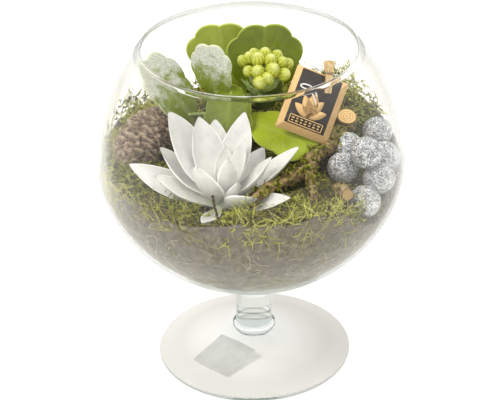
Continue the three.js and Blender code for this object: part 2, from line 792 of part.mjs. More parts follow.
// The mossy branch with its fork, one cut end up and one end in the moss
function makeBranch() {
  const knobbly = (thick, thin) => (way, angle) => (
    (thick + (thin - thick) * way) * (1 + 0.1 * Math.sin(3 * angle + 21 * way) + 0.08 * Math.sin(31 * way))
  );
  const stump = limb(
    new THREE.LineCurve3(new THREE.Vector3(61.5, 24, 152), new THREE.Vector3(63, 17, 168)),
    knobbly(7.2, 6.6),
    9,
    3,
  );
  const main = limb(curveThrough([
    [61.5, 21, 159], [57, 8, 159.5], [50, -7, 159.5], [41, -19, 158.5],
    [33, -36, 158], [21, -48, 157.5], [9, -56, 156], [-2, -68, 152.5],
  ]), knobbly(5.6, 3.4), 8, 15);
  const fork = limb(curveThrough([
    [34, -33, 158], [37, -44, 156.5], [38, -56, 154.5], [39, -64, 151.5],
  ]), knobbly(4, 2.6), 7, 5);
  return [stump, main, fork];
}

// The second cut twig, its cut face to the front
function makeTwig() {
  return limb(
    curveThrough([[59, -62, 154.5], [57, -53, 152], [54, -42, 148]]),
    (way, angle) => 3.9 * (1 + 0.06 * Math.sin(2 * angle + 9 * way)),
    9,
    5,
  );
}

const BALL_PLACES = [
  [70.6, -48.6, 142],
  [81, -28.4, 147.3],
  [58.5, -23, 152.2],
  [62.8, -1.6, 155],
  [72.6, -28.6, 165.9],
  [83.4, 19.4, 155],
  [86.1, -6.4, 150.5],
];

function ballBody() {
  return weld(new THREE.SphereGeometry(BALL_RADIUS, 12, 6));
}

function makeBalls() {
  return BALL_PLACES.map((place, i) => {
    const ball = namedMesh(`glitter_ball_${i + 1}`, ballBody(), 'glitter');
    ball.position.set(...place);
    group.add(ball);
    keepRoom(ball.name, [worldGeometry(ball)]);
    return ball.name;
  });
}

// The tag leans back; its frame carries the tag, the peg and the wire
function makeTag() {
  const across = new THREE.Vector3(0.9, 0.04, -0.436).normalize();
  const face = new THREE.Vector3(0.21, -0.88, 0.43);
  face.addScaledVector(across, -face.dot(across)).normalize();
  const upward = new THREE.Vector3().crossVectors(face, across).normalize();
  const frame = new THREE.Group();
  frame.position.set(39.4, -0.8, 186.1);
  frame.quaternion.setFromRotationMatrix(new THREE.Matrix4().makeBasis(across, upward, face));
  group.add(frame);

  const outline = rectangle(TAG_WIDTH / 2, TAG_HEIGHT / 2);
  const card = new THREE.ExtrudeGeometry(outline, { depth: TAG_THICKNESS, bevelEnabled: false });
  const tag = namedMesh('paper_tag', weld(card), 'kraft');
  frame.add(tag);

  // Each half of the peg: thick at the spring, thin at the finger end and the jaw
  const half = new THREE.Shape();
  const jaw = -PEG_LENGTH * 0.6;
  const grip = PEG_LENGTH * 0.4;
  const grooveFloor = PEG_HALF_DEPTH - PEG_GROOVE;
  half.moveTo(0, jaw);
  half.lineTo(PEG_HALF_DEPTH * 0.6, jaw);
  half.lineTo(PEG_HALF_DEPTH, -3.5);
  half.lineTo(PEG_HALF_DEPTH, -1);
  half.lineTo(grooveFloor, -1);
  half.lineTo(grooveFloor, 1);
  half.lineTo(PEG_HALF_DEPTH, 1);
  half.lineTo(PEG_HALF_DEPTH + 0.9, grip);
  half.lineTo(PEG_HALF_DEPTH * 0.35 + 0.9, grip);
  half.lineTo(0, 1.5);
  const peg = new THREE.Group();
  peg.position.set(3, TAG_HEIGHT / 2 + 1.6, TAG_THICKNESS / 2);
  peg.rotation.z = THREE.MathUtils.degToRad(PEG_TURN);
  frame.add(peg);
  const halfGap = TAG_THICKNESS / 2 + GAP;
  for (const [name, sign] of [['peg_half_front', 1], ['peg_half_back', -1]]) {
    const wood = new THREE.ExtrudeGeometry(half, { depth: PEG_WIDTH, bevelEnabled: false });
    wood.translate(0, 0, -PEG_WIDTH / 2);
    wood.rotateY(-Math.PI / 2);
    const mesh = namedMesh(name, weld(wood), 'pegWood');
    mesh.rotation.y = sign > 0 ? 0 : Math.PI;
    mesh.position.z = sign * halfGap;
    peg.add(mesh);
  }

  // The spring's wire runs round both halves in their grooves
  const innerHalfDepth = halfGap + grooveFloor + GAP;
  const innerHalfWidth = PEG_WIDTH / 2 + GAP;
  const ring = rectangle(innerHalfWidth + SPRING_WIRE, innerHalfDepth + SPRING_WIRE);
  ring.holes.push(rectangle(innerHalfWidth, innerHalfDepth));
  const springBody = new THREE.ExtrudeGeometry(ring, { depth: SPRING_WIRE, bevelEnabled: false });
  springBody.translate(0, 0, -SPRING_WIRE / 2);
  springBody.rotateX(Math.PI / 2);
  peg.add(namedMesh('peg_spring', weld(springBody), 'wire'));

  // Two ends of white string lie on the card below the peg
  const above = TAG_THICKNESS + GAP + STRING_RADIUS;
  const ends = [
    [[-10, 8.8], [-6, 9.2], [-2, 6], [2.2, 2]],
    [[-10, 8.8], [-5.5, 10.8], [-1.5, 8.8], [1, 6]],
  ];
  const strings = ends.map((points) => limb(
    curveThrough(points.map(([x, y]) => [x, y, above])), () => STRING_RADIUS, 6, 6,
  ));
  const string = strings.map(toSolid).reduce((whole, piece) => whole.add(piece));
  frame.add(namedMesh('tag_string', toGeometry(biggestPiece(string)), 'wire'));

  const names = [];
  frame.traverse((mesh) => {
    if (mesh.isMesh) {
      keepRoom(mesh.name, [worldGeometry(mesh)]);
      names.push(mesh.name);
    }
  });
  return names;
}

function rectangle(halfWidth, halfHeight) {
  const shape = new THREE.Shape();
  shape.moveTo(-halfWidth, -halfHeight);
  shape.lineTo(halfWidth, -halfHeight);
  shape.lineTo(halfWidth, halfHeight);
  shape.lineTo(-halfWidth, halfHeight);
  return shape;
}

makeGlass();
makeLabel();
const rosette = makeRosette();
const flowering = makeFloweringPlant();
const tagParts = makeTag();
const balls = makeBalls();
addPart('pine_cone', [makeCone()], 'cone', [...rosette, ...flowering], true);
const firm = [...rosette, ...flowering, ...balls, ...tagParts, 'pine_cone'];
addPart('mossy_branch', makeBranch(), 'bark', firm, true);
firm.push('mossy_branch');
addPart('cut_twig', [makeTwig()], 'bark', firm, true);
firm.push('cut_twig');

const MOSS_PADS = {
  moss_right: [-6, 1],
  moss_back_right: [1, 7],
  moss_back: [7, 12],
  moss_left: [12, 18],
  moss_front: [18, 26],
};
addPart('moss_middle', [mossMiddle()], 'moss', firm);
for (const [name, [first, last]] of Object.entries(MOSS_PADS)) {
  addPart(name, [mossPad(first, last, MOSS_MIDDLE_RADIUS)], 'moss', firm);
}
addPart('soil', [soilBody()], 'soil', firm);

export default group;
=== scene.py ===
"""The looks of a plant terrarium in a footed glass bowl.

Lengths in the classes are millimetres, as in the part's source, and become metres when a mesh is made.
"""

import logging
import math
from collections.abc import Callable
from dataclasses import dataclass
from enum import Enum

import bpy
import numpy as np
from mathutils import Euler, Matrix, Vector


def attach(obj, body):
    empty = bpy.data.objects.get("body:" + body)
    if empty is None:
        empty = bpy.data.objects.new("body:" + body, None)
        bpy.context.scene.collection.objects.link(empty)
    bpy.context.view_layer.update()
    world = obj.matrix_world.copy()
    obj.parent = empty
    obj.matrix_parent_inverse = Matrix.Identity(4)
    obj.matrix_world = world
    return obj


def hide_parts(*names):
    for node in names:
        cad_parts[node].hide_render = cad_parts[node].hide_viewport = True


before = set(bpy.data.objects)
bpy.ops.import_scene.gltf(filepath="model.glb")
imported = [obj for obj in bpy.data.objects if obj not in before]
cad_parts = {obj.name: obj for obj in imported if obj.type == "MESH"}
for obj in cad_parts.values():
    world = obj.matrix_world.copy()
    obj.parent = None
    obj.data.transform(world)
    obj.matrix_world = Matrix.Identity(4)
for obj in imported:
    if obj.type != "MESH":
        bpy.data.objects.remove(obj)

LOG = logging.getLogger("terrarium")
MM = 0.001
GOLDEN_TURN = 2.4
UP = np.array([0.0, 0.0, 1.0])
EAST = np.array([1.0, 0.0, 0.0])
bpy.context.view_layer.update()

Array = np.ndarray
Socket = bpy.types.NodeSocket
Material = bpy.types.Material
Colour = tuple[float, float, float]


# ---- numbers and curves


def unit(vectors: Array) -> Array:
    """Each vector along the last axis divided by its length."""
    vectors = np.asarray(vectors, float)
    return vectors / np.maximum(np.linalg.norm(vectors, axis=-1, keepdims=True), 1e-9)


def smooth(value: Array) -> Array:
    """Three t squared less two t cubed, with t held between 0 and 1."""
    t = np.clip(value, 0, 1)
    return t * t * (3 - 2 * t)


def joined(*values: Array) -> Array:
    """Values side by side along a new last axis, each stretched to the shape of all."""
    return np.stack(np.broadcast_arrays(*values), axis=-1)


def circle(radius: Array, angle: Array) -> tuple[Array, Array]:
    """The radius times the cosine and times the sine of the angle."""
    return radius * np.cos(angle), radius * np.sin(angle)


def full_turn(count: int) -> Array:
    """The angles of count even steps round a circle."""
    return np.linspace(0, math.tau, count, endpoint=False)


def bump(x: Array, y: Array, centre: tuple[float, float], height: float, spread: float) -> Array:
    """The height times e to the minus squared distance over twice the squared spread."""
    squared = (x - centre[0]) ** 2 + (y - centre[1]) ** 2
    return height * np.exp(-squared / (2 * spread * spread))


def ripple(x: Array, y: Array, z: Array, size: float, seed: int) -> Array:
    """Soft lumps: the mean of six sine waves of about the size, in directions drawn with the seed.

    Args:
        x: first coordinates.
        y: second coordinates.
        z: third coordinates.
        size: the distance from lump to lump.
        seed: the seed of the directions and phases.

    Returns:
        Values from about -1 to 1.
    """
    random = np.random.default_rng(seed)
    total = np.zeros(np.broadcast(x, y, z).shape)
    for direction, phase in zip(unit(random.normal(size=(6, 3))), random.uniform(0, 6.3, 6)):
        wave = math.tau / size * random.uniform(0.7, 1.4)
        total += np.sin(wave * (direction[0] * x + direction[1] * y + direction[2] * z) + phase)
    return total / 3


def path_through(points: list, count: int) -> Array:
    """A smooth path through the points, by the cubic of each four neighbours, evenly spaced.

    Args:
        points: the places that the path passes.
        count: how many points the path gets.

    Returns:
        An array of count places.
    """
    known = np.asarray(points, float)
    padded = np.vstack([2 * known[0] - known[1], known, 2 * known[-1] - known[-2]])
    t = np.linspace(0, len(known) - 1, 40 * len(known))
    first = np.minimum(t.astype(int), len(known) - 2)
    f = (t - first)[:, None]
    a, b, c, d = (padded[first + k] for k in range(4))
    fine = 0.5 * (2 * b + (c - a) * f + (2 * a - 5 * b + 4 * c - d) * f**2 + (3 * b - a - 3 * c + d) * f**3)
    way = np.append(0, np.cumsum(np.linalg.norm(np.diff(fine, axis=0), axis=1)))
    even = np.linspace(0, way[-1], count)
    return np.stack([np.interp(even, way, fine[:, k]) for k in range(3)], axis=1)


def even_turning(line: Array, length: float, turn: float) -> Array:
    """A finely drawn line resampled so that each step holds the same sum of length and of turning.

    Args:
        line: places (n, 2).
        length: the length that counts as one step.
        turn: the turning in radians that counts as one step.

    Returns:
        The resampled places.
    """
    steps = np.diff(line, axis=0)
    size = np.linalg.norm(steps, axis=1)
    steps, size = steps[size > 1e-6], size[size > 1e-6]
    places = np.vstack([line[0], line[0] + np.cumsum(steps, axis=0)])
    heading = np.unwrap(np.arctan2(steps[:, 1], steps[:, 0]))
    bend = np.abs(np.diff(heading, prepend=heading[0]))
    share = np.append(0, np.cumsum(size / length + 0.5 * (bend + np.append(bend[1:], 0)) / turn))
    even = np.linspace(0, share[-1], int(share[-1]) + 1)
    return np.stack([np.interp(even, share, places[:, k]) for k in range(2)], axis=1)


def tube(path: Array, radius: Array, sides: int, aside: Array | tuple = UP) -> Array:
    """Rings about a path: each ring is the path's point plus the radius along the turning normal.

    Args:
        path: places along the middle, shape (rows, 3).
        radius: the radius at each row, or at each row and side.
        sides: points round a ring.
        aside: a direction that the path never runs along.

    Returns:
        Points of shape (rows, sides, 3).
    """
    ahead = unit(np.gradient(path, axis=0))
    first = unit(np.cross(ahead, aside))
    second = np.cross(ahead, first)
    angle = full_turn(sides)
    radius = np.asarray(radius, float)
    radius = radius[:, None] if radius.ndim == 1 else radius
    ring = first[:, None] * np.cos(angle)[None, :, None] + second[:, None] * np.sin(angle)[None, :, None]
    return path[:, None] + radius[..., None] * ring


# ---- meshes


class Stock:
    """Points, faces and point values gathered for one piece, then made into one mesh."""

    VALUES = ("edge", "along", "tint")
    MIDDLE = 0.5

    def __init__(self) -> None:
        """Starts with nothing in stock."""
        self.points: list[Array] = []
        self.faces: list[Array] = []
        self.slots: list[Array] = []
        self.values: dict[str, list[Array]] = {name: [] for name in self.VALUES}
        self.count = 0

    def add(self, points: Array, faces: list[Array], slot: int = 0, **values: Array) -> None:
        """Takes in one closed surface, turned outwards by the sum of a dot b cross c over its triangles.

        Args:
            points: places of shape (n, 3).
            faces: index arrays, each of triangles or of quads.
            slot: the number of the piece's material.
            values: the edge, along and tint values of the points, or one number for all.
        """
        volume = 0.0
        for group in faces:
            for k in range(1, group.shape[1] - 1):
                a, b, c = points[group[:, 0]], points[group[:, k]], points[group[:, k + 1]]
                volume += float(np.einsum("ij,ij->", a, np.cross(b, c)))
        for group in faces:
            self.faces.append((group[:, ::-1] if volume < 0 else group) + self.count)
            self.slots.append(np.full(len(group), slot))
        self.points.append(points)
        for name in self.VALUES:
            self.values[name].append(np.broadcast_to(values.get(name, self.MIDDLE), len(points)))
        self.count += len(points)

    def add_grid(self, grid: Array, slot: int = 0, **values: Array) -> None:
        """Takes in rings of points joined by quads, each end closed by a fan about the ring's middle.

        Args:
            grid: points of shape (rows, columns, 3), each row a closed ring.
            slot: the number of the piece's material.
            values: point values that fit the shape (rows, columns).
        """
        rows, columns = grid.shape[:2]
        total = rows * columns
        index = np.arange(total).reshape(rows, columns)
        turned = np.roll(index, -1, axis=1)
        quads = joined(index[:-1], turned[:-1], turned[1:], index[1:]).reshape(-1, 4)
        low = joined(turned[0], index[0], total)
        high = joined(index[-1], turned[-1], total + 1)
        points = np.vstack([grid.reshape(-1, 3), grid[0].mean(axis=0), grid[-1].mean(axis=0)])
        shaped = {name: np.broadcast_to(value, (rows, columns)) for name, value in values.items()}
        flat = {name: np.append(value, [value[0].mean(), value[-1].mean()]) for name, value in shaped.items()}
        self.add(points, [quads, low, high], slot, **flat)

    def add_slab(self, top: Array, bottom: Array, slot: int = 0, **values: Array) -> None:
        """Takes in a slab: two sheets of the same layout joined along their borders.

        Args:
            top: points of shape (rows, columns, 3).
            bottom: points of the same shape.
            slot: the number of the piece's material.
            values: one number for all points.
        """
        rows, columns = top.shape[:2]
        index = np.arange(rows * columns).reshape(rows, columns)
        sheet = joined(index[:-1, :-1], index[:-1, 1:], index[1:, 1:], index[1:, :-1]).reshape(-1, 4)
        border = np.concatenate([index[0, :-1], index[:-1, -1], index[-1, :0:-1], index[:0:-1, 0]])
        after = np.roll(border, -1)
        total = rows * columns
        wall = joined(after, border, border + total, after + total)
        points = np.vstack([top.reshape(-1, 3), bottom.reshape(-1, 3)])
        self.add(points, [sheet, sheet[:, ::-1] + total, wall], slot, **values)

    def make(self, name: str, materials: list, flat: bool = False) -> bpy.types.Object:
        """Makes the piece: one object at the origin with its place in its mesh, in metres.

        Args:
            name: the piece's name.
            materials: its materials in the order of the slot numbers.
            flat: whether faces stay flat.

        Returns:
            The new object.
        """
        mesh = bpy.data.meshes.new(name)
        points = np.vstack(self.points) * MM
        mesh.vertices.add(len(points))
        mesh.vertices.foreach_set("co", points.astype(np.float32).ravel())
        sizes = np.concatenate([np.full(len(group), group.shape[1]) for group in self.faces])
        corners = np.concatenate([group.ravel() for group in self.faces])
        mesh.loops.add(len(corners))
        mesh.loops.foreach_set("vertex_index", corners.astype(np.int32))
        mesh.polygons.add(len(sizes))
        mesh.polygons.foreach_set("loop_start", np.append(0, np.cumsum(sizes)[:-1]).astype(np.int32))
        mesh.polygons.foreach_set("material_index", np.concatenate(self.slots).astype(np.int32))
        mesh.update(calc_edges=True)
        mesh.polygons.foreach_set("use_smooth", np.full(len(sizes), not flat))
        for value in self.VALUES:
            attribute = mesh.attributes.new(value, "FLOAT", "POINT")
            attribute.data.foreach_set("value", np.concatenate(self.values[value]).astype(np.float32))
        for material in materials:
            mesh.materials.append(material)
        mesh.update()
        piece = bpy.data.objects.new(name, mesh)
        bpy.context.scene.collection.objects.link(piece)
        LOG.info("%s: %d triangles", name, int((sizes - 2).sum()))
        return piece

    def settle(
        self, name: str, materials: list, slot: str, *nodes: str, flat: bool = False
    ) -> bpy.types.Object:
        """Makes the piece and puts it on the part's one body.

        Args:
            name: the piece's name.
            materials: its materials in the order of the slot numbers.
            slot: the record's material slot; not used.
            nodes: the nodes that it replaces.
            flat: whether faces stay flat.

        Returns:
            The new object.
        """
        piece = self.make(name, materials, flat)
        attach(piece, "root")
        if nodes:
            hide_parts(*nodes)
        return piece


# ---- finishes


def tone(code: str) -> Colour:
    """The linear colour of a web colour code: each channel by the standard screen curve."""
    channels = [int(code[i : i + 2], 16) / 255 for i in (1, 3, 5)]
    return tuple(c / 12.92 if c <= 0.04045 else ((c + 0.055) / 1.055) ** 2.4 for c in channels)


class NodeTree:
    """The nodes of one material or of the world, with short ways to add and join them."""

    def __init__(self, name: str, world: bool = False) -> None:
        """Starts an empty tree.

        Args:
            name: the name of the material or the world.
            world: whether it is a world.
        """
        self.owner = (bpy.data.worlds if world else bpy.data.materials).new(name)
        self.owner.use_nodes = True
        self.nodes = self.owner.node_tree.nodes
        self.links = self.owner.node_tree.links
        self.nodes.clear()
        self.ending = "OutputWorld" if world else "OutputMaterial"
        self.coordinates = self.add("TexCoord").outputs["Generated" if world else "Object"]

    def put(self, value: object, socket: Socket) -> None:
        """Joins a socket to another, or sets its plain value.

        Args:
            value: a socket, or a number, vector or colour.
            socket: the input that takes it.
        """
        if isinstance(value, Socket):
            self.links.new(value, socket)
        elif isinstance(value, tuple) and len(value) == 3 and socket.type == "RGBA":
            socket.default_value = (*value, 1.0)
        else:
            socket.default_value = value

    def add(
        self, kind: str, settings: dict | None = None, *first: object, **inputs: object
    ) -> bpy.types.Node:
        """Adds a node, sets its options and fills its inputs.

        Args:
            kind: the node's type, without its common first word.
            settings: the node's own options.
            first: values or sockets for its first inputs in their order.
            inputs: values or sockets by name, with _ for a space in the name.

        Returns:
            The node.
        """
        node = self.nodes.new("ShaderNode" + kind)
        for key, value in (settings or {}).items():
            setattr(node, key, value)
        for index, value in enumerate(first):
            self.put(value, node.inputs[index])
        for key, value in inputs.items():
            self.put(value, node.inputs[key.replace("_", " ")])
        return node

    def value(self, name: str) -> Socket:
        """The piece's own point value of that name."""
        return self.add("Attribute", {"attribute_name": name}).outputs["Fac"]

    def noise(self, size: float, detail: float = 4, distort: float = 0, stretch: tuple = (1, 1, 1)) -> Socket:
        """Cloudy noise.

        Args:
            size: about how large its features are, in millimetres.
            detail: how many finer layers it has.
            distort: how twisted it is.
            stretch: how drawn out it is along each axis.

        Returns:
            The noise, about 0.5 on average.
        """
        mapping = self.add("Mapping", Vector=self.coordinates, Scale=tuple(1 / s for s in stretch))
        place, scale = mapping.outputs[0], 1 / (size * MM)
        node = self.add("TexNoise", Vector=place, Scale=scale, Detail=detail, Distortion=distort)
        return node.outputs["Fac"]

    def cells(self, size: float, output: str = "Distance") -> Socket:
        """Cells of about the size in millimetres: distance or colour."""
        return self.add("TexVoronoi", Vector=self.coordinates, Scale=1 / (size * MM)).outputs[output]

    def ramp(self, factor: Socket, stops: list[tuple[float, str]]) -> Socket:
        """Colours by a factor, from web colour codes at their places.

        Args:
            factor: what the colour follows.
            stops: pairs of a place from 0 to 1 and a code.

        Returns:
            The colour's socket.
        """
        node = self.add("ValToRGB", Fac=factor)
        elements = node.color_ramp.elements
        while len(elements) < len(stops):
            elements.new(0.5)
        for element, (place, code) in zip(elements, stops):
            element.position = place
            element.color = (*tone(code), 1.0)
        return node.outputs["Color"]

    def spread(
        self, value: Socket, low: float, high: float, start: float = 0, end: float = 1, kind: str = "LINEAR"
    ) -> Socket:
        """A value's range from low to high carried to the range from start to end and held there."""
        settings = {"clamp": True, "interpolation_type": kind}
        return self.add("MapRange", settings, value, low, high, start, end).outputs["Result"]

    def sum(self, first: object, second: object, operation: str = "ADD") -> Socket:
        """Two numbers added, or joined by another operation."""
        return self.add("Math", {"operation": operation}, first, second).outputs[0]

    def times(self, first: object, second: object) -> Socket:
        """The product of two numbers."""
        return self.sum(first, second, "MULTIPLY")

    def larger(self, first: object, second: object) -> Socket:
        """The larger of two numbers."""
        return self.sum(first, second, "MAXIMUM")

    def vector(self, operation: str, first: object, second: object = (0, 0, 0)) -> Socket:
        """The vector that an operation makes of two, or for a dot product and a length the number."""
        node = self.add("VectorMath", {"operation": operation}, first, second)
        return node.outputs["Value" if operation in ("DOT_PRODUCT", "LENGTH") else "Vector"]

    def blend(self, factor: object, first: object, second: object, kind: str = "MIX") -> Socket:
        """Two colours mixed by a factor."""
        return self.add("MixRGB", {"blend_type": kind}, Fac=factor, Color1=first, Color2=second).outputs[0]

    def tinted(self, under: object, code: str, value: Socket, *limits: float) -> Socket:
        """A colour that another one takes over where a value runs through its limits."""
        return self.blend(self.spread(value, *limits), under, tone(code))

    def patched(self, under: Socket, code: str, noise: tuple, limits: tuple, share: float) -> Socket:
        """A colour with soft patches of another, by noise of a size and detail, up to a share."""
        return self.tinted(under, code, self.noise(*noise), *limits, 0, share)

    def relief(
        self, height: Socket, depth: float, strength: float = 1, under: Socket | None = None
    ) -> Socket:
        """The normal of a bump so many millimetres deep, on top of another normal if there is one."""
        more = {} if under is None else {"Normal": under}
        return self.add("Bump", Strength=strength, Distance=depth * MM, Height=height, **more).outputs[0]

    def shader(self, kind: str, **inputs: object) -> Socket:
        """A shader of that kind with these inputs."""
        return self.add(kind, **inputs).outputs[0]

    def layer(self, factor: object, under: Socket, over: Socket) -> Socket:
        """Two shaders mixed, the second by the factor."""
        return self.add("MixShader", None, factor, under, over).outputs[0]

    def close(self, shader: Socket) -> bpy.types.ID:
        """Ends the tree in this shader and gives the material or the world."""
        self.add(self.ending, Surface=shader)
        return self.owner

    def finish(
        self, colour: Socket, roughness: object, normal: Socket | None = None, **inputs: object
    ) -> Material:
        """Ends the tree in the main shader with its colour, roughness, relief and other inputs."""
        more = inputs if normal is None else {"Normal": normal, **inputs}
        return self.close(self.shader("BsdfPrincipled", Base_Color=colour, Roughness=roughness, **more))


@dataclass(frozen=True)
class ClearGlass:
    """Clear glass, faintly green in the stem, with a painted pale reflection at its limbs, painted dark
    reflections at the knop and rim, and painted shade at the foot's edge.

    Heights and distances in its methods are metres, as a material reads them.
    """

    bowl: str = "#fbfaf7"
    stem: str = "#f6faf7"
    foot: str = "#f6f5f2"
    # The foot's edge tone is painted shade that darkens the foot's outer part.
    foot_edge_painted_shade: str = "#dedcd7"
    thin: str = "#f4f5f3"
    unseen: str = "#fcfcfb"
    trapped: str = "#e2e7e3"
    # The knop line tone tints painted dark reflections on the knop and rim.
    painted_dark_line: str = "#5d6f68"
    # The two haze tones and the haze strength make a painted pale reflection at the bowl's limbs.
    low_painted_reflection: str = "#a9a698"
    high_painted_reflection: str = "#f1f0ec"
    bend: float = 1.4
    low_bend: float = 1.26
    haze: float = 0.5
    low_share: float = 0.56
    knop_fold: float = 0.0181
    deepest: float = 3.5

    def body(self, tree: NodeTree, axes: list[Socket], upper: Socket) -> Socket:
        """The glass itself, tinted darker toward the foot's edge as painted shade, and thinned out at the far
        side of the rim and in the stem.

        Args:
            tree: the material's nodes.
            axes: the place along the three axes.
            upper: how far the place is in the upper bowl.

        Returns:
            The shader.
        """
        _, depth, height = axes
        stops = [(0.1, self.foot), (0.2, self.stem), (0.72, self.stem), (0.85, self.bowl)]
        # Painted shade: the foot's outer part is tinted darker.
        far_out = tree.spread(tree.vector("LENGTH", tree.coordinates), 0.024, 0.05)
        painted_foot_shade = tree.times(tree.spread(height, 0.006, 0.012, 1, 0), far_out)
        colour = tree.blend(painted_foot_shade, tree.ramp(tree.spread(height, 0.0, 0.08), stops), tone(self.foot_edge_painted_shade))
        bend = tree.spread(upper, 0, 1, self.low_bend, self.bend)
        clear = {"Roughness": 0.0, "Transmission_Weight": 1.0}
        glass = tree.shader("BsdfPrincipled", Base_Color=colour, IOR=bend, **clear)
        far_rim = tree.times(tree.spread(height, 0.221, 0.2235), tree.spread(depth, 0.01, 0.045, 0, 0.6))
        stem = tree.times(tree.spread(height, 0.026, 0.03), tree.spread(height, 0.048, 0.056, 0.5, 0))
        thinned = tree.shader("BsdfTransparent", Color=tone(self.thin))
        return tree.layer(tree.larger(far_rim, stem), glass, thinned)

    def lines(self, tree: NodeTree, axes: list[Socket], facing: Socket) -> Socket:
        """How strong the painted dark lines are, which stand in for dark reflections: the knop's limbs and
        fold, and the two sides of the rim.

        Args:
            tree: the material's nodes.
            axes: the place along the three axes.
            facing: how far the surface is turned from the eye.

        Returns:
            The strength.
        """
        across, _, height = axes
        knop = tree.times(tree.spread(height, 0.0165, 0.018), tree.spread(height, 0.0238, 0.0252, 1, 0))
        limbs = tree.times(knop, tree.spread(facing, 0.5, 0.85, 0, 0.85))
        from_fold = tree.sum(tree.sum(height, self.knop_fold, "SUBTRACT"), 0, "ABSOLUTE")
        folded = tree.larger(limbs, tree.spread(from_fold, 0.0003, 0.0009, 0.7, 0))
        aside = tree.spread(tree.sum(across, 0, "ABSOLUTE"), 0.03, 0.06)
        at_side = tree.times(tree.spread(height, 0.2235, 0.2245), aside)
        return tree.larger(folded, tree.times(at_side, tree.spread(facing, 0.55, 0.85, 0, 0.5)))

    def painted_reflection_strength(self, tree: NodeTree, height: Socket, facing: Socket, upper: Socket) -> Socket:
        """How strong the painted pale reflection is: broad at the lower bowl's limbs, narrow at the upper
        bowl's.

        Args:
            tree: the material's nodes.
            height: the height.
            facing: how far the surface is turned from the eye.
            upper: how far the place is in the upper bowl.

        Returns:
            The strength.
        """
        wide = tree.times(tree.spread(facing, 0.25, 0.85), tree.spread(upper, 0, 1, 1, 0))
        limb = tree.sum(tree.times(tree.spread(facing, 0.58, 0.82), upper), wide)
        high = tree.times(tree.spread(height, 0.072, 0.135), tree.spread(height, 0.165, 0.21, 1, 0.25))
        strength = tree.spread(upper, 0, 1, self.low_share * self.haze, self.haze)
        return tree.times(tree.times(limb, strength), high)

    def material(self) -> Material:
        """The material: glass for the eye, and see-through for shadow, bounce and long-trapped rays."""
        tree = NodeTree("clear_glass")
        axes = list(tree.add("SeparateXYZ", Vector=tree.coordinates).outputs)
        facing = tree.add("LayerWeight", Blend=0.5).outputs["Facing"]
        upper = tree.spread(axes[2], 0.14, 0.165)
        # Painted dark reflections: a dark see-through film on the knop's limbs and fold and on the rim's
        # sides.
        dark = tree.shader("BsdfTransparent", Color=tone(self.painted_dark_line))
        with_painted_lines = tree.layer(self.lines(tree, axes, facing), self.body(tree, axes, upper), dark)
        # Painted pale reflection: a pale matt film at the bowl's limbs, greyer low down.
        pale = tree.shader("BsdfDiffuse", Color=tree.blend(upper, tone(self.low_painted_reflection), tone(self.high_painted_reflection)))
        with_painted_reflection = tree.layer(self.painted_reflection_strength(tree, axes[2], facing, upper), with_painted_lines, pale)
        path = tree.add("LightPath").outputs
        worn_out = tree.shader("BsdfTransparent", Color=tone(self.trapped))
        held = tree.layer(tree.sum(path["Ray Depth"], self.deepest, "GREATER_THAN"), with_painted_reflection, worn_out)
        through = tree.shader("BsdfTransparent", Color=tone(self.unseen))
        passing = tree.larger(path["Is Shadow Ray"], path["Is Diffuse Ray"])
        return tree.close(tree.layer(passing, held, through))


@dataclass(frozen=True)
class WhiteLeafSkin:
    """The matt white coat of the rosette's leaves: pale, green at the root, a bright edge, a dark tip."""

    white: str = "#dfdeda"
    shade: str = "#bfbfbb"
    root: str = "#a9b886"
    edge: str = "#fbfbf8"
    tip: str = "#8a6f52"

    def material(self) -> Material:
        """The material, its colour carried along and across the leaf by the piece's own values."""
        tree = NodeTree("white_leaf_skin")
        along = tree.value("along")
        edge = tree.value("edge")
        cloud = tree.noise(9, 3)
        patches = tree.tinted(tone(self.white), self.shade, cloud, 0.35, 0.7, 0, 0.6)
        rooted = tree.tinted(patches, self.root, along, 0.0, 0.24, 0.6, 0)
        edged = tree.tinted(rooted, self.edge, edge, 0.9, 0.99, 0, 0.95)
        tipped = tree.tinted(edged, self.tip, along, 0.975, 0.995)
        grain = tree.noise(0.5, 3)
        normal = tree.relief(grain, 0.05, 0.4)
        return tree.finish(
            tipped, 0.58, normal, Subsurface_Weight=0.12, Subsurface_Radius=(0.004, 0.004, 0.003)
        )


class LeafTone(Enum):
    """The tones of the scalloped leaves: body, lighter body, bright edge, and the share of painted silver
    sheen.
    """

    DARK = ("#59670a", "#75821c", "#a3b048", 0.06)
    # The low front leaf's own yellow green, made lighter as painted light against the tag's shadow.
    FRESH = ("#8b9b16", "#a5b42a", "#c8d270", 0.04)
    OLIVE = ("#7d8a1c", "#98a334", "#b9c468", 0.06)
    # Leaves whose silver is a painted sheen, standing in for glossy reflection.
    SILVER = ("#66731a", "#7d8a36", "#c4c8a4", 0.95)


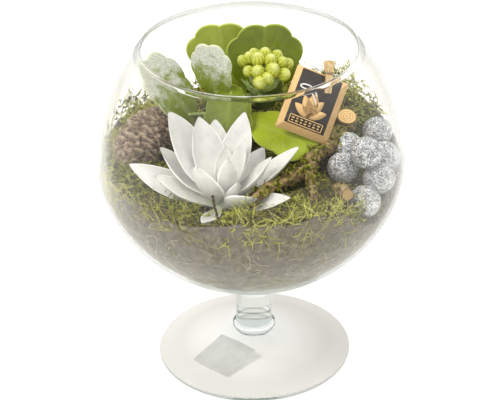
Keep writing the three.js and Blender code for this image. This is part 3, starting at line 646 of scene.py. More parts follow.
@dataclass(frozen=True)
class BroadLeafSkin:
    """The satin skin of a scalloped leaf: cloudy green, faint veins, a thin bright edge, and a painted silver
    sheen that stands in for its glossy reflection.
    """

    tone: LeafTone

    def material(self) -> Material:
        """The material for this tone."""
        dark, light, rim, silver = self.tone.value
        tree = NodeTree(f"broad_leaf_{self.tone.name.lower()}")
        cloud = tree.noise(14, 3, 0.4)
        body = tree.ramp(tree.spread(cloud, 0.3, 0.7), [(0, dark), (1, light)])
        vein = tree.value("tint")
        veined = tree.blend(tree.times(vein, 0.2), body, tone(rim))
        # Painted sheen: silver patches, more toward the tip, stand in for the leaf's glossy reflection.
        clouds = tree.sum(tree.noise(8, 3), tree.times(tree.noise(1.3, 5), 0.3))
        spotted = tree.sum(clouds, tree.times(tree.value("along"), 0.8))
        painted_sheen = tree.spread(spotted, 0.96, 1.2, 0, silver)
        painted_sheen_colour = tree.tinted(tone("#a9ab98"), "#d2d3c7", tree.noise(1.0, 6), 0.38, 0.66)
        with_painted_sheen = tree.blend(painted_sheen, veined, painted_sheen_colour)
        edge = tree.value("edge")
        edged = tree.tinted(with_painted_sheen, rim, edge, 0.955, 0.99, 0, 0.85)
        grain = tree.relief(tree.noise(0.9, 4), 0.08, 0.35)
        return tree.finish(
            edged,
            tree.spread(painted_sheen, 0, 1, 0.38, 0.55),
            tree.relief(vein, 0.25, 0.4, grain),
            Specular_IOR_Level=0.3,
            Subsurface_Weight=0.1,
            Subsurface_Radius=(0.003, 0.005, 0.001),
        )


class BudSkin:
    """Yellow-green buds: painted shade darkens their grooves and their low half, and painted highlight
    lightens their ribs and tips, whose paler tone is partly their own.
    """

    def material(self) -> Material:
        """The material: edge is the height of the rib, along the way to the tip."""
        tree = NodeTree("bud_skin")
        # Painted shade in the grooves and low on each bud, painted highlight on the ribs and toward the tip.
        ribs = tree.ramp(tree.value("edge"), [(0, "#6f7b12"), (0.5, "#9aa126"), (1, "#c0bf4c")])
        low = tree.tinted(ribs, "#66780f", tree.value("along"), 0.0, 0.5, 0.8, 0)
        tips = tree.tinted(low, "#dadb98", tree.value("along"), 0.7, 1.0, 0, 0.6)
        shade = tree.patched(tips, "#84921f", (3.6, 3), (0.42, 0.66), 0.5)
        return tree.finish(shade, 0.42, Subsurface_Weight=0.12, Subsurface_Radius=(0.002, 0.003, 0.001))


class StemSkin:
    """Fleshy green stems and bracts."""

    def material(self) -> Material:
        """The material, browner low down by its along value."""
        tree = NodeTree("stem_skin")
        body = tree.ramp(tree.value("along"), [(0, "#7c6a44"), (0.3, "#7d8a44"), (1, "#93a35a")])
        spots = tree.patched(body, "#5d6b38", (2.5, 4), (0.45, 0.7), 0.5)
        return tree.finish(spots, 0.5, tree.relief(tree.noise(0.8), 0.15, 0.5))


class MossStrand:
    """Feathery moss: olive to bright yellow green, some strands straw and brown."""

    def material(self) -> Material:
        """The material: the strand's tint picks its colour, painted shade greys it toward the root, and the
        tips are brighter.
        """
        tree = NodeTree("moss_strand")
        stops = [(0, "#4a3a18"), (0.2, "#80642a"), (0.42, "#8f8d24")]
        stops += [(0.68, "#bcc034"), (0.9, "#e2df74"), (0.97, "#c6b884")]
        picked = tree.ramp(tree.value("tint"), stops)
        # Painted shade: grey toward the root, multiplied over the colour.
        shade = tree.ramp(tree.value("along"), [(0, "#6a6a6a"), (0.35, "#bcbcbc"), (1, "#ffffff")])
        painted_root_shaded = tree.blend(1.0, picked, shade, "MULTIPLY")
        bright = tree.tinted(painted_root_shaded, "#d6da5c", tree.value("along"), 0.4, 1.0, 0, 0.3)
        patch = tree.patched(bright, "#6e5a30", (26, 2), (0.5, 0.66), 0.2)
        return tree.finish(patch, 0.8, Specular_IOR_Level=0.25)


class PaleFibre:
    """Straw and root fibres pressed against the glass, near to the soil in tone."""

    def material(self) -> Material:
        """The material: the strand's tint picks straw, grey green or beige."""
        tree = NodeTree("pale_fibre")
        stops = [(0, "#857f66"), (0.3, "#98966a"), (0.55, "#a8a474"), (0.8, "#b5ad90"), (1, "#c9bda6")]
        picked = tree.ramp(tree.value("tint"), stops)
        mottled = tree.patched(picked, "#85806a", (6, 3), (0.4, 0.65), 0.5)
        return tree.finish(mottled, 0.85, Specular_IOR_Level=0.2)


class MossBed:
    """The dark felt of moss under the strands."""

    def material(self) -> Material:
        """The material: mottled olive and brown with a rough bump."""
        tree = NodeTree("moss_bed")
        fine = tree.noise(2.2, 8, 0.8)
        colour = tree.ramp(fine, [(0.25, "#241f0c"), (0.45, "#484118"), (0.6, "#6b6a1e"), (0.75, "#8f8d38")])
        patch = tree.patched(colour, "#4a3c22", (22, 2), (0.45, 0.65), 0.6)
        return tree.finish(patch, 0.95, tree.relief(fine, 1.6, 1.0))


class PottingSoil:
    """Coarse soil of peat, bark and fibres."""

    def material(self) -> Material:
        """The material: brown crumbs in several sizes with a strong bump."""
        tree = NodeTree("potting_soil")
        crumbs = tree.noise(3.5, 9, 0.5)
        stops = [(0.3, "#4e493c"), (0.45, "#645f4f"), (0.58, "#77715f"), (0.72, "#8f8872")]
        colour = tree.ramp(crumbs, stops)
        chips = tree.spread(tree.cells(4.5), 0.0, 0.35, 0.4, 0)
        mixed = tree.blend(chips, colour, tone("#6a6656"))
        patches = tree.patched(mixed, "#6c6568", (24, 3), (0.45, 0.62), 0.5)
        streaks = tree.spread(tree.noise(7, 3, 2.5, (1, 1, 0.35)), 0.56, 0.66, 0, 0.4)
        streaked = tree.blend(streaks, patches, tone("#77723f"))
        return tree.finish(streaked, 0.95, tree.relief(crumbs, 1.2, 0.6), Specular_IOR_Level=0.2)


class ConeScale:
    """Weathered grey-brown cone scales, paler on their raised middles, with painted shade where the scales
    meet.
    """

    def material(self) -> Material:
        """The material: edge is the height of the scale."""
        tree = NodeTree("cone_scale")
        # Painted shade: darkest where the scales meet.
        stops = [(0, "#3b2e22"), (0.35, "#786451"), (0.8, "#a8937b"), (1, "#c9b7a2")]
        body = tree.ramp(tree.value("edge"), stops)
        fine = tree.noise(1.6, 7, 0.6)
        worn = tree.tinted(body, "#ab9c86", fine, 0.42, 0.62, 0, 0.6)
        mottled = tree.patched(worn, "#675440", (7, 4), (0.45, 0.6), 0.45)
        return tree.finish(mottled, 0.85, tree.relief(fine, 0.7, 0.9))


class MossyBark:
    """Grey-brown bark with lichen and green film."""

    def material(self) -> Material:
        """The material: bark noise with pale and green patches."""
        tree = NodeTree("mossy_bark")
        fine = tree.noise(2.4, 9, 0.8)
        bark = tree.ramp(fine, [(0.28, "#43331f"), (0.46, "#7d6542"), (0.62, "#a8906a"), (0.8, "#c3b391")])
        green = tree.patched(bark, "#7f7d34", (8, 4), (0.5, 0.64), 0.6)
        return tree.finish(green, 0.92, tree.relief(fine, 1.5, 1.0))


class SawnWood:
    """A sawn end: pale wood with rings about the middle and a fine grain."""

    def material(self) -> Material:
        """The material: edge is the share of the radius, which carries the rings."""
        tree = NodeTree("sawn_wood")
        share = tree.value("edge")
        wavy = tree.times(tree.sum(share, tree.times(tree.noise(3), 0.22)), 24.0)
        rings = tree.sum(tree.sum(wavy, 0, "SINE"), 0.5, "MULTIPLY_ADD")
        colour = tree.ramp(tree.spread(rings, -0.5, 1), [(0, "#cf9440"), (1, "#fbdb9c")])
        browned = tree.blend(tree.times(tree.value("tint"), 0.75), colour, tone("#8f7650"))
        barked = tree.tinted(browned, "#7d6643", share, 0.85, 0.92)
        mottled = tree.patched(barked, "#b98646", (1.4, 5), (0.5, 0.75), 0.4)
        return tree.finish(mottled, 0.75, tree.relief(tree.noise(0.7), 0.2, 0.6))


@dataclass(frozen=True)
class SilverGlitter:
    """Fine silver glitter glued over a foam ball: flakes that each face their own way."""

    flake: float = 0.58
    lean: float = 0.38

    def material(self) -> Material:
        """The material: each cell has its own lean and its own grey up to white, a painted reflection that
        stands in for the flakes' glints and dark turns.
        """
        tree = NodeTree("silver_glitter")
        colour = tree.cells(self.flake, "Color")
        from_middle = tree.vector("SUBTRACT", colour, (0.5, 0.5, 0.5))
        leaning = tree.vector("MULTIPLY", from_middle, (2 * self.lean,) * 3)
        straight = tree.add("NewGeometry").outputs["Normal"]
        normal = tree.vector("NORMALIZE", tree.vector("ADD", straight, leaning))
        parts = tree.add("SeparateColor", Color=colour)
        red, green = parts.outputs["Red"], parts.outputs["Green"]
        # Painted reflection: each flake's random grey, up to white, stands in for its glint.
        patchy = tree.sum(red, tree.spread(tree.noise(3.4, 3), 0.3, 0.7, -0.2, 0.2))
        stops = [(0.0, "#59595e"), (0.28, "#97979b"), (0.58, "#c8c8c9"), (0.78, "#f2f2f1"), (0.86, "#ffffff")]
        shade = tree.ramp(patchy, stops)
        return tree.finish(shade, 0.33, normal, Metallic=tree.spread(green, 0.2, 0.8, 0.1, 0.75))


@dataclass(frozen=True)
class PrintedCard:
    """Recycled card, or the ink on it: speckled with fibres."""

    name: str = "kraft_card"
    body: str = "#e0ba82"
    fleck: str = "#c29a5e"
    roughness: float = 0.82

    def material(self) -> Material:
        """The material: two sizes of specks over the plain colour, with a fine tooth."""
        tree = NodeTree(self.name)
        specks = tree.spread(tree.noise(0.8, 6), 0.52, 0.7, 0, 0.55)
        clouds = tree.tinted(tone(self.body), self.fleck, tree.noise(7, 3), 0.4, 0.7, 0, 0.25)
        colour = tree.blend(specks, clouds, tone(self.fleck))
        return tree.finish(colour, self.roughness, tree.relief(tree.noise(0.5, 6), 0.06, 0.6))


class LightWood:
    """Planed light wood with fine grain along the peg."""

    def material(self) -> Material:
        """The material: streaks drawn out along Z."""
        tree = NodeTree("light_wood")
        grain = tree.noise(0.9, 5, 0.3, (1, 1, 9))
        colour = tree.ramp(tree.spread(grain, 0.3, 0.7), [(0, "#a88a5c"), (0.5, "#c8aa7a"), (1, "#dcc49a")])
        return tree.finish(colour, 0.6, tree.relief(grain, 0.1, 0.5))


@dataclass(frozen=True)
class PlainFinish:
    """A nearly even finish: white cord, steel wire, or the stage."""

    name: str
    body: str
    other: str
    roughness: float
    metal: float = 0.0
    size: float = 0.6
    glow: float = 0.0

    def material(self) -> Material:
        """The material: two near tones by noise, a faint bump, and for the stage a faint glow of its own."""
        tree = NodeTree(self.name)
        cloud = tree.noise(self.size, 4)
        colour = tree.tinted(tone(self.body), self.other, cloud, 0.35, 0.65)
        normal = tree.relief(cloud, 0.05, 0.4)
        return tree.finish(
            colour,
            self.roughness,
            normal,
            Metallic=self.metal,
            Emission_Color=tone(self.body),
            Emission_Strength=self.glow,
        )


# ---- the glass


@dataclass
class GlassBowl:
    """The footed glass: a hollow foot, a knop, a short stem and a bowl with a rounded rim."""

    radius: float = 100.0
    belly: float = 150.0
    rim_height: float = 228.0
    rim_radius: float = 70.0
    bottom: float = 61.0
    upper_power: float = 1.82
    lower_power: float = 1.9
    wall: float = 1.3
    floor: float = 1.8
    turns: int = 128

    def side(self, z: Array, shrink: float = 0.0) -> Array:
        """The radius: (radius less shrink) times (1 less the height share to a power) to one over that power.

        Args:
            z: heights.
            shrink: how far inside the outer face, the wall for the inner face.

        Returns:
            The radius at each height.
        """
        z = np.asarray(z, float)
        share = (self.rim_radius / self.radius) ** self.upper_power
        upper = (self.rim_height - self.belly) / (1 - share) ** (1 / self.upper_power) - shrink
        lower = self.belly - self.bottom - (self.floor + shrink - self.wall if shrink else 0)
        above = z >= self.belly
        power = np.where(above, self.upper_power, self.lower_power)
        way = np.abs(z - self.belly) / np.where(above, upper, lower)
        return (self.radius - shrink) * np.clip(1 - way**power, 0, 1) ** (1 / power)

    def room(self, z: Array, margin: float = 0.7) -> Array:
        """The radius of the room inside at each height, less a margin."""
        low = self.bottom + self.floor + 1.3
        return self.side(np.maximum(z, low), self.wall) - margin

    def profile(self) -> Array:
        """The outline from the middle of the foot's hollow round to the middle of the bowl's floor.

        Arcs make the foot's edge, the knop and the rim; smooth paths join them to the two side curves.

        Returns:
            Radius and height, from underneath to inside.
        """
        fine = np.linspace(0, 1, 300)

        def arc(middle: tuple, radii: tuple, first: float, last: float) -> Array:
            """An ellipse's arc between two angles in degrees."""
            turn = np.radians(first + (last - first) * fine)
            return joined(middle[0] + radii[0] * np.cos(turn), middle[1] + radii[1] * np.sin(turn))

        def through(places: list) -> Array:
            """A smooth path through places in the plane."""
            return path_through([(*place, 0) for place in places], 500)[:, :2]

        hollow = through([(0.3, 10.45), (20, 6.9), (40, 3.3), (55, 0.55), (57.5, 0.12), (59, 0.0), (62, 0.0)])
        edge = arc((63.5, 1.5), (1.5, 1.5), -90, 97)
        top = [(63.1, 3.02), (53, 4.9), (42, 7.0), (31, 9.3)]
        top += [(22, 12.2), (16.6, 14.9), (13.5, 16.8), (12.4, 18.0)]
        knop = arc((11.5, 20.8), (2.9, 2.9), -68, 66)
        neck = [(12.35, 24.0), (12.0, 26.2), (11.85, 30), (11.8, 44)]
        neck += [(12.6, 54.5), (16.6, 61.1), (20.5, 63.05), (25, 64.42)]
        reach = self.belly - self.bottom

        def lower(radius: Array, belly_radius: float, depth: float) -> Array:
            """The lower bowl's height at a radius: the belly less the depth times the side's curve."""
            power = self.lower_power
            return self.belly - depth * (1 - (radius / belly_radius) ** power) ** (1 / power)

        outer_r, inner_r = 26 + 71 * fine, 94 - 93.7 * fine
        outer_low = lower(outer_r, self.radius, reach)
        inner_low = lower(inner_r, self.radius - self.wall, reach - self.floor)
        outer_z = outer_low[-1] + (self.rim_height - 0.7 - outer_low[-1]) * fine[1:]
        inner_z = self.rim_height - 3.4 + (inner_low[0] - self.rim_height + 3.4) * fine[:-1]
        lip = arc((69.55, self.rim_height - 1.1), (1.08, 1.08), 41, 255)
        pieces = [hollow, edge, through(top), knop, through(neck), joined(outer_r, outer_low)]
        pieces += [joined(self.side(outer_z), outer_z), lip]
        pieces += [joined(self.side(inner_z, self.wall), inner_z), joined(inner_r, inner_low)]
        return even_turning(np.vstack(pieces), 3.0, math.radians(8))

    def build(self) -> None:
        """Turns the outline about the middle axis and settles it in place of the plain glass."""
        outline = self.profile()
        angle = full_turn(self.turns)
        x = outline[:, :1] * np.cos(angle)
        y = outline[:, :1] * np.sin(angle)
        z = np.broadcast_to(outline[:, 1:], x.shape)
        stock = Stock()
        stock.add_grid(joined(x, y, z))
        stock.settle("glass_goblet_clear", [ClearGlass().material()], "glass", "glass_goblet")
        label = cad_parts["foot_label"]
        paper = PlainFinish("label_paper", "#e2e4e2", "#d8dad7", 0.8, size=6).material()
        label.data.materials.clear()
        label.data.materials.append(paper)


# ---- the ground


@dataclass
class Ground:
    """The soil and the moss on it, both with the mounds and dips that the planting has."""

    glass: GlassBowl
    soil_level: float = 145.0
    moss_depth: float = 7.0
    bared: float = 1.6
    columns: int = 192
    rosette_dip: tuple[float, float] = (-19.0, -54.0)
    ball_dip: tuple[float, float] = (83.0, -42.0)

    MOUNDS = (
        ((-72, 40), 20, 19),
        ((60, 60), 28, 19),
        ((-4, 82), 11, 24),
        ((-84, -44), 4, 24),
        ((-4, -97), 4, 20),
        ((44, -78), 5, 15),
        ((16, 30), 4, 18),
    )

    def mounds(self, x: Array, y: Array) -> Array:
        """The sum of seven soft bumps, each with its middle, height and spread."""
        return sum(bump(x, y, *mound) for mound in self.MOUNDS)

    def moss_top(self, x: Array, y: Array) -> Array:
        """The level plus mounds and dips plus two small waves.

        Args:
            x: first coordinates.
            y: second coordinates.

        Returns:
            Heights.
        """
        dips = bump(x, y, self.ball_dip, -19, 19) + bump(x, y, self.rosette_dip, -11, 18)
        lumps = 0.9 * np.sin(0.33 * x + 1) * np.cos(0.29 * y) + 0.6 * np.sin(0.21 * (x + y))
        return self.soil_level + self.moss_depth + self.mounds(x, y) + dips + lumps

    def soil_top(self, x: Array, y: Array) -> Array:
        """The level plus a fifth of the mounds plus two wide dips."""
        dips = bump(x, y, self.ball_dip, -22, 29) + bump(x, y, self.rosette_dip, -11, 27)
        return self.soil_level + 0.2 * self.mounds(x, y) + dips

    def soil_edge(self, x: Array, y: Array) -> Array:
        """The height of the soil's rim at the glass: under the moss, and lower where the mounds are high."""
        dents = bump(x, y, (-76, 34), 3.0, 24) + bump(x, y, (73, -66), 9, 13)
        return self.moss_top(x, y) - self.bared - (0.6 * np.maximum(self.mounds(x, y) - 5, 0) + dents)

    def at_wall(self, angle: Array, height: Callable[[Array, Array], Array]) -> tuple[Array, Array]:
        """Where a surface meets the glass in each direction, by a few rounds of trial.

        Args:
            angle: directions in radians.
            height: the surface's height by x and y.

        Returns:
            The radius and the height there.
        """
        radius = np.full(np.shape(angle), 96.0)
        for _ in range(8):
            z = height(*circle(radius, angle))
            radius = self.glass.room(z, 0.6)
        return radius, z

    def build_soil(self) -> None:
        """The soil: its top, and a wall a hair inside the glass with crumbs pressed inwards."""
        angle = full_turn(self.columns)
        edge_radius, edge_z = self.at_wall(angle, self.soil_edge)
        rings = []
        for share in np.append(np.linspace(0.02, 0.95, 20), [0.958, 0.97, 0.985]):
            x, y = circle(share * edge_radius, angle)
            low_z = self.soil_top(x, y)
            rings.append(joined(x, y, low_z + (edge_z - low_z) * smooth((share - 0.95) / 0.03)))
        low = self.glass.bottom + self.glass.floor + 0.4
        for share in np.sin(np.linspace(0, 0.965, 44) * math.pi / 2):
            z = edge_z + (low - edge_z) * share
            radius = self.glass.room(z, 0.5)
            x, y = circle(radius, angle)
            crumbs = 0.35 * (1 + ripple(x, y, z, 7, 3)) + 0.25 * (1 + ripple(x, y, z, 2.6, 4))
            radius = radius - crumbs * 0.7
            rings.append(joined(*circle(radius, angle), z))
        stock = Stock()
        stock.add_grid(np.array(rings))
        stock.settle("soil_crumbly", [PottingSoil().material()], "soil", "soil")


@dataclass
class Strands:
    """Strands to be made: their roots, unit directions, bends as shares of the length, lengths and tints."""

    root: Array
    lead: Array
    curl: Array
    length: Array
    tint: Array

    def chosen(self, which: Array) -> "Strands":
        """Those of the strands that a mask picks."""
        return Strands(*(values[which] for values in vars(self).values()))


@dataclass
class StrandKit:
    """Feathery strands: thin three-sided stems with slim pointed leaflets, all made at once."""

    ground: Ground
    ball_places: Array
    steps: int = 6
    leaflets: int = 10
    thickness: float = 0.26
    leaflet: float = 2.2
    wobble: float = 0.08
    ball_room: float = 10.3

    def held(self, points: Array) -> Array:
        """Points moved inside the glass, and out of the glitter balls.

        Args:
            points: places of shape (..., 3).

        Returns:
            The places after both moves.
        """
        moved = points.copy()
        for centre in self.ball_places:
            away = moved - centre
            distance = np.linalg.norm(away, axis=-1, keepdims=True)
            outside = centre + away * self.ball_room / np.maximum(distance, 0.1)
            moved = np.where(distance < self.ball_room, outside, moved)
        distance = np.hypot(moved[..., 0], moved[..., 1])
        factor = np.minimum(1, self.ground.glass.room(moved[..., 2]) / np.maximum(distance, 1))
        moved[..., 0] *= factor
        moved[..., 1] *= factor
        return moved

    def strands(
        self, stock: Stock, new: Strands, slot: int = 0, bare: bool = False, pale: float = 0.0
    ) -> None:
        """Adds strands: root plus lead times the way plus curl times its square, and a wave.

        Args:
            stock: what takes the strands in.
            new: the strands.
            slot: the material's number.
            bare: whether the strands have no leaflets.
            pale: how little painted shade the root gets from the material, from 0 to 1.
        """
        root, lead, curl, tint = new.root, new.lead, new.curl, new.tint
        count, length = len(root), new.length[:, None, None]
        way = np.linspace(0, 1, self.steps)[None, :, None]
        path = root[:, None] + length * (lead[:, None] * way + curl[:, None] * way**2)
        sideways = unit(np.cross(lead, curl + 0.01))[:, None]
        path = path + self.wobble * length * sideways * np.sin(7 * way + 40 * tint[:, None, None])
        path = self.held(path)
        ahead = unit(np.gradient(path, axis=1))
        first = unit(np.cross(ahead, UP + 0.01))
        second = np.cross(ahead, first)
        thick = self.thickness * (1 - 0.7 * way)
        turns = np.radians([0, 120, 240])
        ring = np.stack([path + thick * (first * math.cos(a) + second * math.sin(a)) for a in turns], axis=2)
        points = ring.reshape(count, -1, 3)
        rows = np.arange(self.steps * 3).reshape(self.steps, 3)
        turned = np.roll(rows, -1, axis=1)
        quads = joined(rows[:-1], turned[:-1], turned[1:], rows[1:]).reshape(-1, 4)
        caps = np.array([rows[0][::-1], rows[-1]])
        along = np.broadcast_to(np.repeat(np.linspace(pale, 1, self.steps), 3), (count, self.steps * 3))
        shift = (np.arange(count) * self.steps * 3)[:, None, None]
        tints = np.broadcast_to(tint[:, None], along.shape)
        stock.add(
            points.reshape(-1, 3),
            [(quads[None] + shift).reshape(-1, 4), (caps[None] + shift).reshape(-1, 3)],
            slot,
            along=along.reshape(-1),
            tint=tints.reshape(-1),
        )
        if not bare:
            self._leaflets(stock, path, ahead, first, second, tint, slot)

    def _leaflets(
        self, stock: Stock, path: Array, ahead: Array, first: Array, second: Array, tint: Array, slot: int
    ) -> None:
        """Adds slim four-faced leaflets, turned by the golden turn from one to the next.

        Args:
            stock: what takes the leaflets in.
            path: the strands' middles.
            ahead: their directions.
            first: one side direction.
            second: the other side direction.
            tint: each strand's tint.
            slot: the material's number.
        """
        count = len(path)
        place = np.linspace(0.12, 0.98, self.leaflets) * (self.steps - 1)
        low = np.minimum(place.astype(int), self.steps - 2)
        share = (place - low)[None, :, None]
        known = (path, ahead, first, second)
        base, forward, one, two = (a[:, low] * (1 - share) + a[:, low + 1] * share for a in known)
        turn = GOLDEN_TURN * np.arange(self.leaflets)[None, :, None] + 6.3 * tint[:, None, None]
        out = one * np.cos(turn) + two * np.sin(turn)
        size = self.leaflet * (1.1 - 0.6 * place / (self.steps - 1))[None, :, None]
        tip = base + size * unit(out + 0.9 * forward)
        across = np.cross(out, forward)
        aside = 0.36 * size * across
        corners = [base + aside, base - aside, base + 0.22 * forward + 0.12 * out, tip]
        points = np.stack(corners, axis=2).reshape(-1, 3)
        faces = np.array([[0, 1, 3], [1, 2, 3], [2, 0, 3], [1, 0, 2]])
        shift = (np.arange(count * self.leaflets) * 4)[:, None, None]
        shape = (count, self.leaflets, 4)
        along = np.broadcast_to((place / (self.steps - 1))[None, :, None], shape).reshape(-1)
        tints = np.broadcast_to(tint[:, None, None], shape).reshape(-1)
        stock.add(self.held(points), [(faces[None] + shift).reshape(-1, 3)], slot, along=along, tint=tints)


@dataclass
class MossCover:
    """The pads of moss with their strands, and the strands that lie against the glass."""

    ground: Ground
    kit: StrandKit
    limbs: Array
    PADS = {
        "moss_right": (-6, 1),
        "moss_back_right": (1, 7),
        "moss_back": (7, 12),
        "moss_left": (12, 18),
        "moss_front": (18, 26),
    }
    LAID_ON = (
        (-19, -54, 46, 0.3),
        (-29, -86, 13, 0.1),
        (42, 0, 22, 0.4),
        (-68, 5, 19, 0.45),
        (0, 22, 34, 0.5),
    )
    middle_radius: float = 42.0
    outer_radius: float = 93.0
    steps: int = 32
    density: float = 0.195
    by_rosette: int = 190
    by_cone: int = 700
    at_glass: int = 1400

    def __post_init__(self) -> None:
        """Makes the two materials and the seeded generator that all of its strands draw from."""
        self.bed = MossBed().material()
        self.strand = MossStrand().material()
        self.random = np.random.default_rng(5)

    def bed_top(self, x: Array, y: Array) -> Array:
        """The moss level less a little and less half of the mounds, with lumps of three sizes.

        Args:
            x: first coordinates.
            y: second coordinates.

        Returns:
            Heights.
        """
        lumps = 0.9 * ripple(x, y, 0, 9, 11) + 0.6 * ripple(x, y, 0, 4, 12) + 0.35 * ripple(x, y, 0, 2, 13)
        dents = bump(x, y, (-28, -82), -1.6, 8) + bump(x, y, (-76, 34), -3.0, 24)
        dents = dents + bump(x, y, (66, -62), -6, 13)
        return self.ground.moss_top(x, y) - 1.4 - 0.5 * self.ground.mounds(x, y) + lumps + dents

    def pad_sheet(self, first: int, last: int, height: Callable[[Array, Array], Array]) -> Array:
        """A sheet between two turns and from the middle pad out to the glass.

        Args:
            first: the first step of the circle.
            last: the last step.
            height: the sheet's height by x and y.

        Returns:
            Points of shape (angles, radii, 3).
        """
        angle = np.linspace(first, last, 9 * (last - first)) * math.tau / self.steps
        outer, _ = self.ground.at_wall(angle, height)
        share = np.linspace(0, 1, 40)[None, :]
        radius = self.middle_radius + (0.962 * outer[:, None] - self.middle_radius) * share
        x, y = circle(radius, angle[:, None])
        return joined(x, y, height(x, y))

    def room_for(self, x: Array, y: Array) -> Array:
        """The share of its length that a strand gets: short under what lies on the moss.

        Args:
            x: first coordinates of the roots.
            y: second coordinates of the roots.

        Returns:
            Shares from 0.15 to 1.
        """
        room = np.ones(np.shape(x))
        for cx, cy, radius, least in self.LAID_ON:
            distance = np.hypot(x - cx, y - cy) / radius
            room = np.minimum(room, least + (1 - least) * smooth(distance - 0.35))
        for places, radius, least in ((self.limbs, 13.0, 0.3), (self.kit.ball_places, 21.0, 0.15)):
            distance = np.hypot(x[:, None] - places[None, :, 0], y[:, None] - places[None, :, 1]).min(axis=1)
            clearing = smooth((distance - 0.45 * radius) / (0.55 * radius))
            room = np.minimum(room, least + (1 - least) * clearing)
        return room

    def sow(self, stock: Stock, x: Array, y: Array) -> None:
        """Adds strands rooted at the places, more upright and more tangled on the mounds.

        Args:
            stock: what takes the strands in.
            x: first coordinates of the roots.
            y: second coordinates of the roots.
        """
        random, count = self.random, len(x)
        room = self.room_for(x, y)
        high = np.clip(self.ground.mounds(x, y) / 16, 0, 1)
        trim = 1 - bump(x, y, (-74, 36), 0.6, 26)
        tangle = 0.42 * self.ground.mounds(x, y) * random.uniform(0, 1, count) ** 1.3 * room * trim
        root = joined(x, y, self.bed_top(x, y) - 1.0 + tangle)
        turn = random.uniform(0, math.tau, count)
        rise = np.radians(random.uniform(8, 52, count) + 38 * high * random.uniform(0, 1, count))
        rise = rise * (0.4 + 0.6 * room)
        lead = joined(*circle(np.cos(rise), turn), np.sin(rise))
        curl = random.normal(0, 0.5, (count, 3))
        curl[:, 2] = -0.3 + 0.35 * random.uniform(-1, 1, count)
        length = random.uniform(4, 10.5, count) * room * (1 + 1.1 * high * trim)
        length = length * (1 + 0.25 * ripple(x, y, 0, 16, 43))
        green, brown = bump(x, y, (40, -62), 0.3, 20), bump(x, y, (4, -68), 0.5, 15)
        patchy = 0.14 * ripple(x, y, 0, 22, 41) + 0.1 * ripple(x, y, 0, 9, 42)
        tint = np.clip(random.normal(0.5, 0.16, count) + 0.5 * high + patchy + green - brown, 0.02, 0.9)
        tint = np.where(random.uniform(size=count) < 0.11 - 0.06 * high, 1.0, tint)
        self.kit.strands(stock, Strands(root, lead, curl, length, tint), 1)

    def build_middle(self) -> None:
        """The round pad in the middle."""
        angle = full_turn(96)[None, :]
        x, y = circle(np.linspace(1, self.middle_radius, 30)[:, None], angle)
        top = joined(x, y, self.bed_top(x, y))
        bottom = joined(x, y, self.ground.soil_top(x, y) + 0.5)[::-1]
        stock = Stock()
        stock.add_grid(np.concatenate([top, bottom]))
        count = int(self.density * math.pi * self.middle_radius**2)
        far = self.middle_radius * np.sqrt(self.random.uniform(0, 1, count))
        self.sow(stock, *circle(far, self.random.uniform(0, math.tau, count)))
        stock.settle("moss_middle_feathery", [self.bed, self.strand], "moss", "moss_middle")

    def build_pad(self, name: str, first: int, last: int) -> None:
        """An outer pad, from the middle one out to the glass.

        Args:
            name: the node that it stands for.
            first: the first step of the circle.
            last: the last step.
        """
        stock = Stock()
        top = self.pad_sheet(first, last, self.bed_top)
        bottom = self.pad_sheet(first, last, lambda x, y: self.ground.soil_top(x, y) + 0.5)
        stock.add_slab(top, bottom)
        inner, outer = self.middle_radius**2, self.outer_radius**2
        count = int(self.density * ((outer - inner) * math.pi * (last - first) / self.steps))
        far = np.sqrt(self.random.uniform(inner, outer, count))
        turn = self.random.uniform(first, last, count) * math.tau / self.steps
        self.sow(stock, *circle(far, turn))
        stock.settle(f"{name}_feathery", [self.bed, self.strand], "moss", name)

    def build(self) -> None:
        """Makes the middle pad, the five outer pads, and the strands beside other things."""
        self.build_middle()
        for name, (first, last) in self.PADS.items():
            self.build_pad(name, first, last)
        self.build_wall_strands()
        self.build_rosette_strands()
        self.build_cone_strands()
        self.build_dry_stalk()

    def build_rosette_strands(self) -> None:
        """Bright strands that rise in front of the rosette over the roots of its leaves."""
        random, count = self.random, self.by_rosette
        turn = np.radians(random.uniform(-178, -42, count))
        far = random.uniform(17, 36, count)
        middle_x, middle_y = self.ground.rosette_dip
        x, y = middle_x + far * np.cos(turn), middle_y + far * np.sin(turn)
        root = joined(x, y, self.bed_top(x, y) - 0.5)
        inside = np.hypot(x, y) < self.ground.glass.room(root[:, 2]) - 2
        off_stalk = np.hypot(x + 29, y + 84) > 9
        sideways, inward = random.normal(0, 0.8, count), random.normal(0.1, 0.35, count)
        lead = unit(joined(sideways, inward, random.uniform(0.5, 1.6, count)))
        curl = random.normal(0, 0.4, (count, 3)) - np.array([0, 0, 0.25])
        tint = np.clip(random.normal(0.72, 0.12, count), 0.2, 0.9)
        tint = np.where(random.uniform(size=count) < 0.08, 1.0, tint)
        new = Strands(root, lead, curl, random.uniform(6, 14, count), tint)
        stock = Stock()
        self.kit.strands(stock, new.chosen(inside & off_stalk), pale=0.3)
        stock.settle("rosette_strands", [self.strand], "moss")

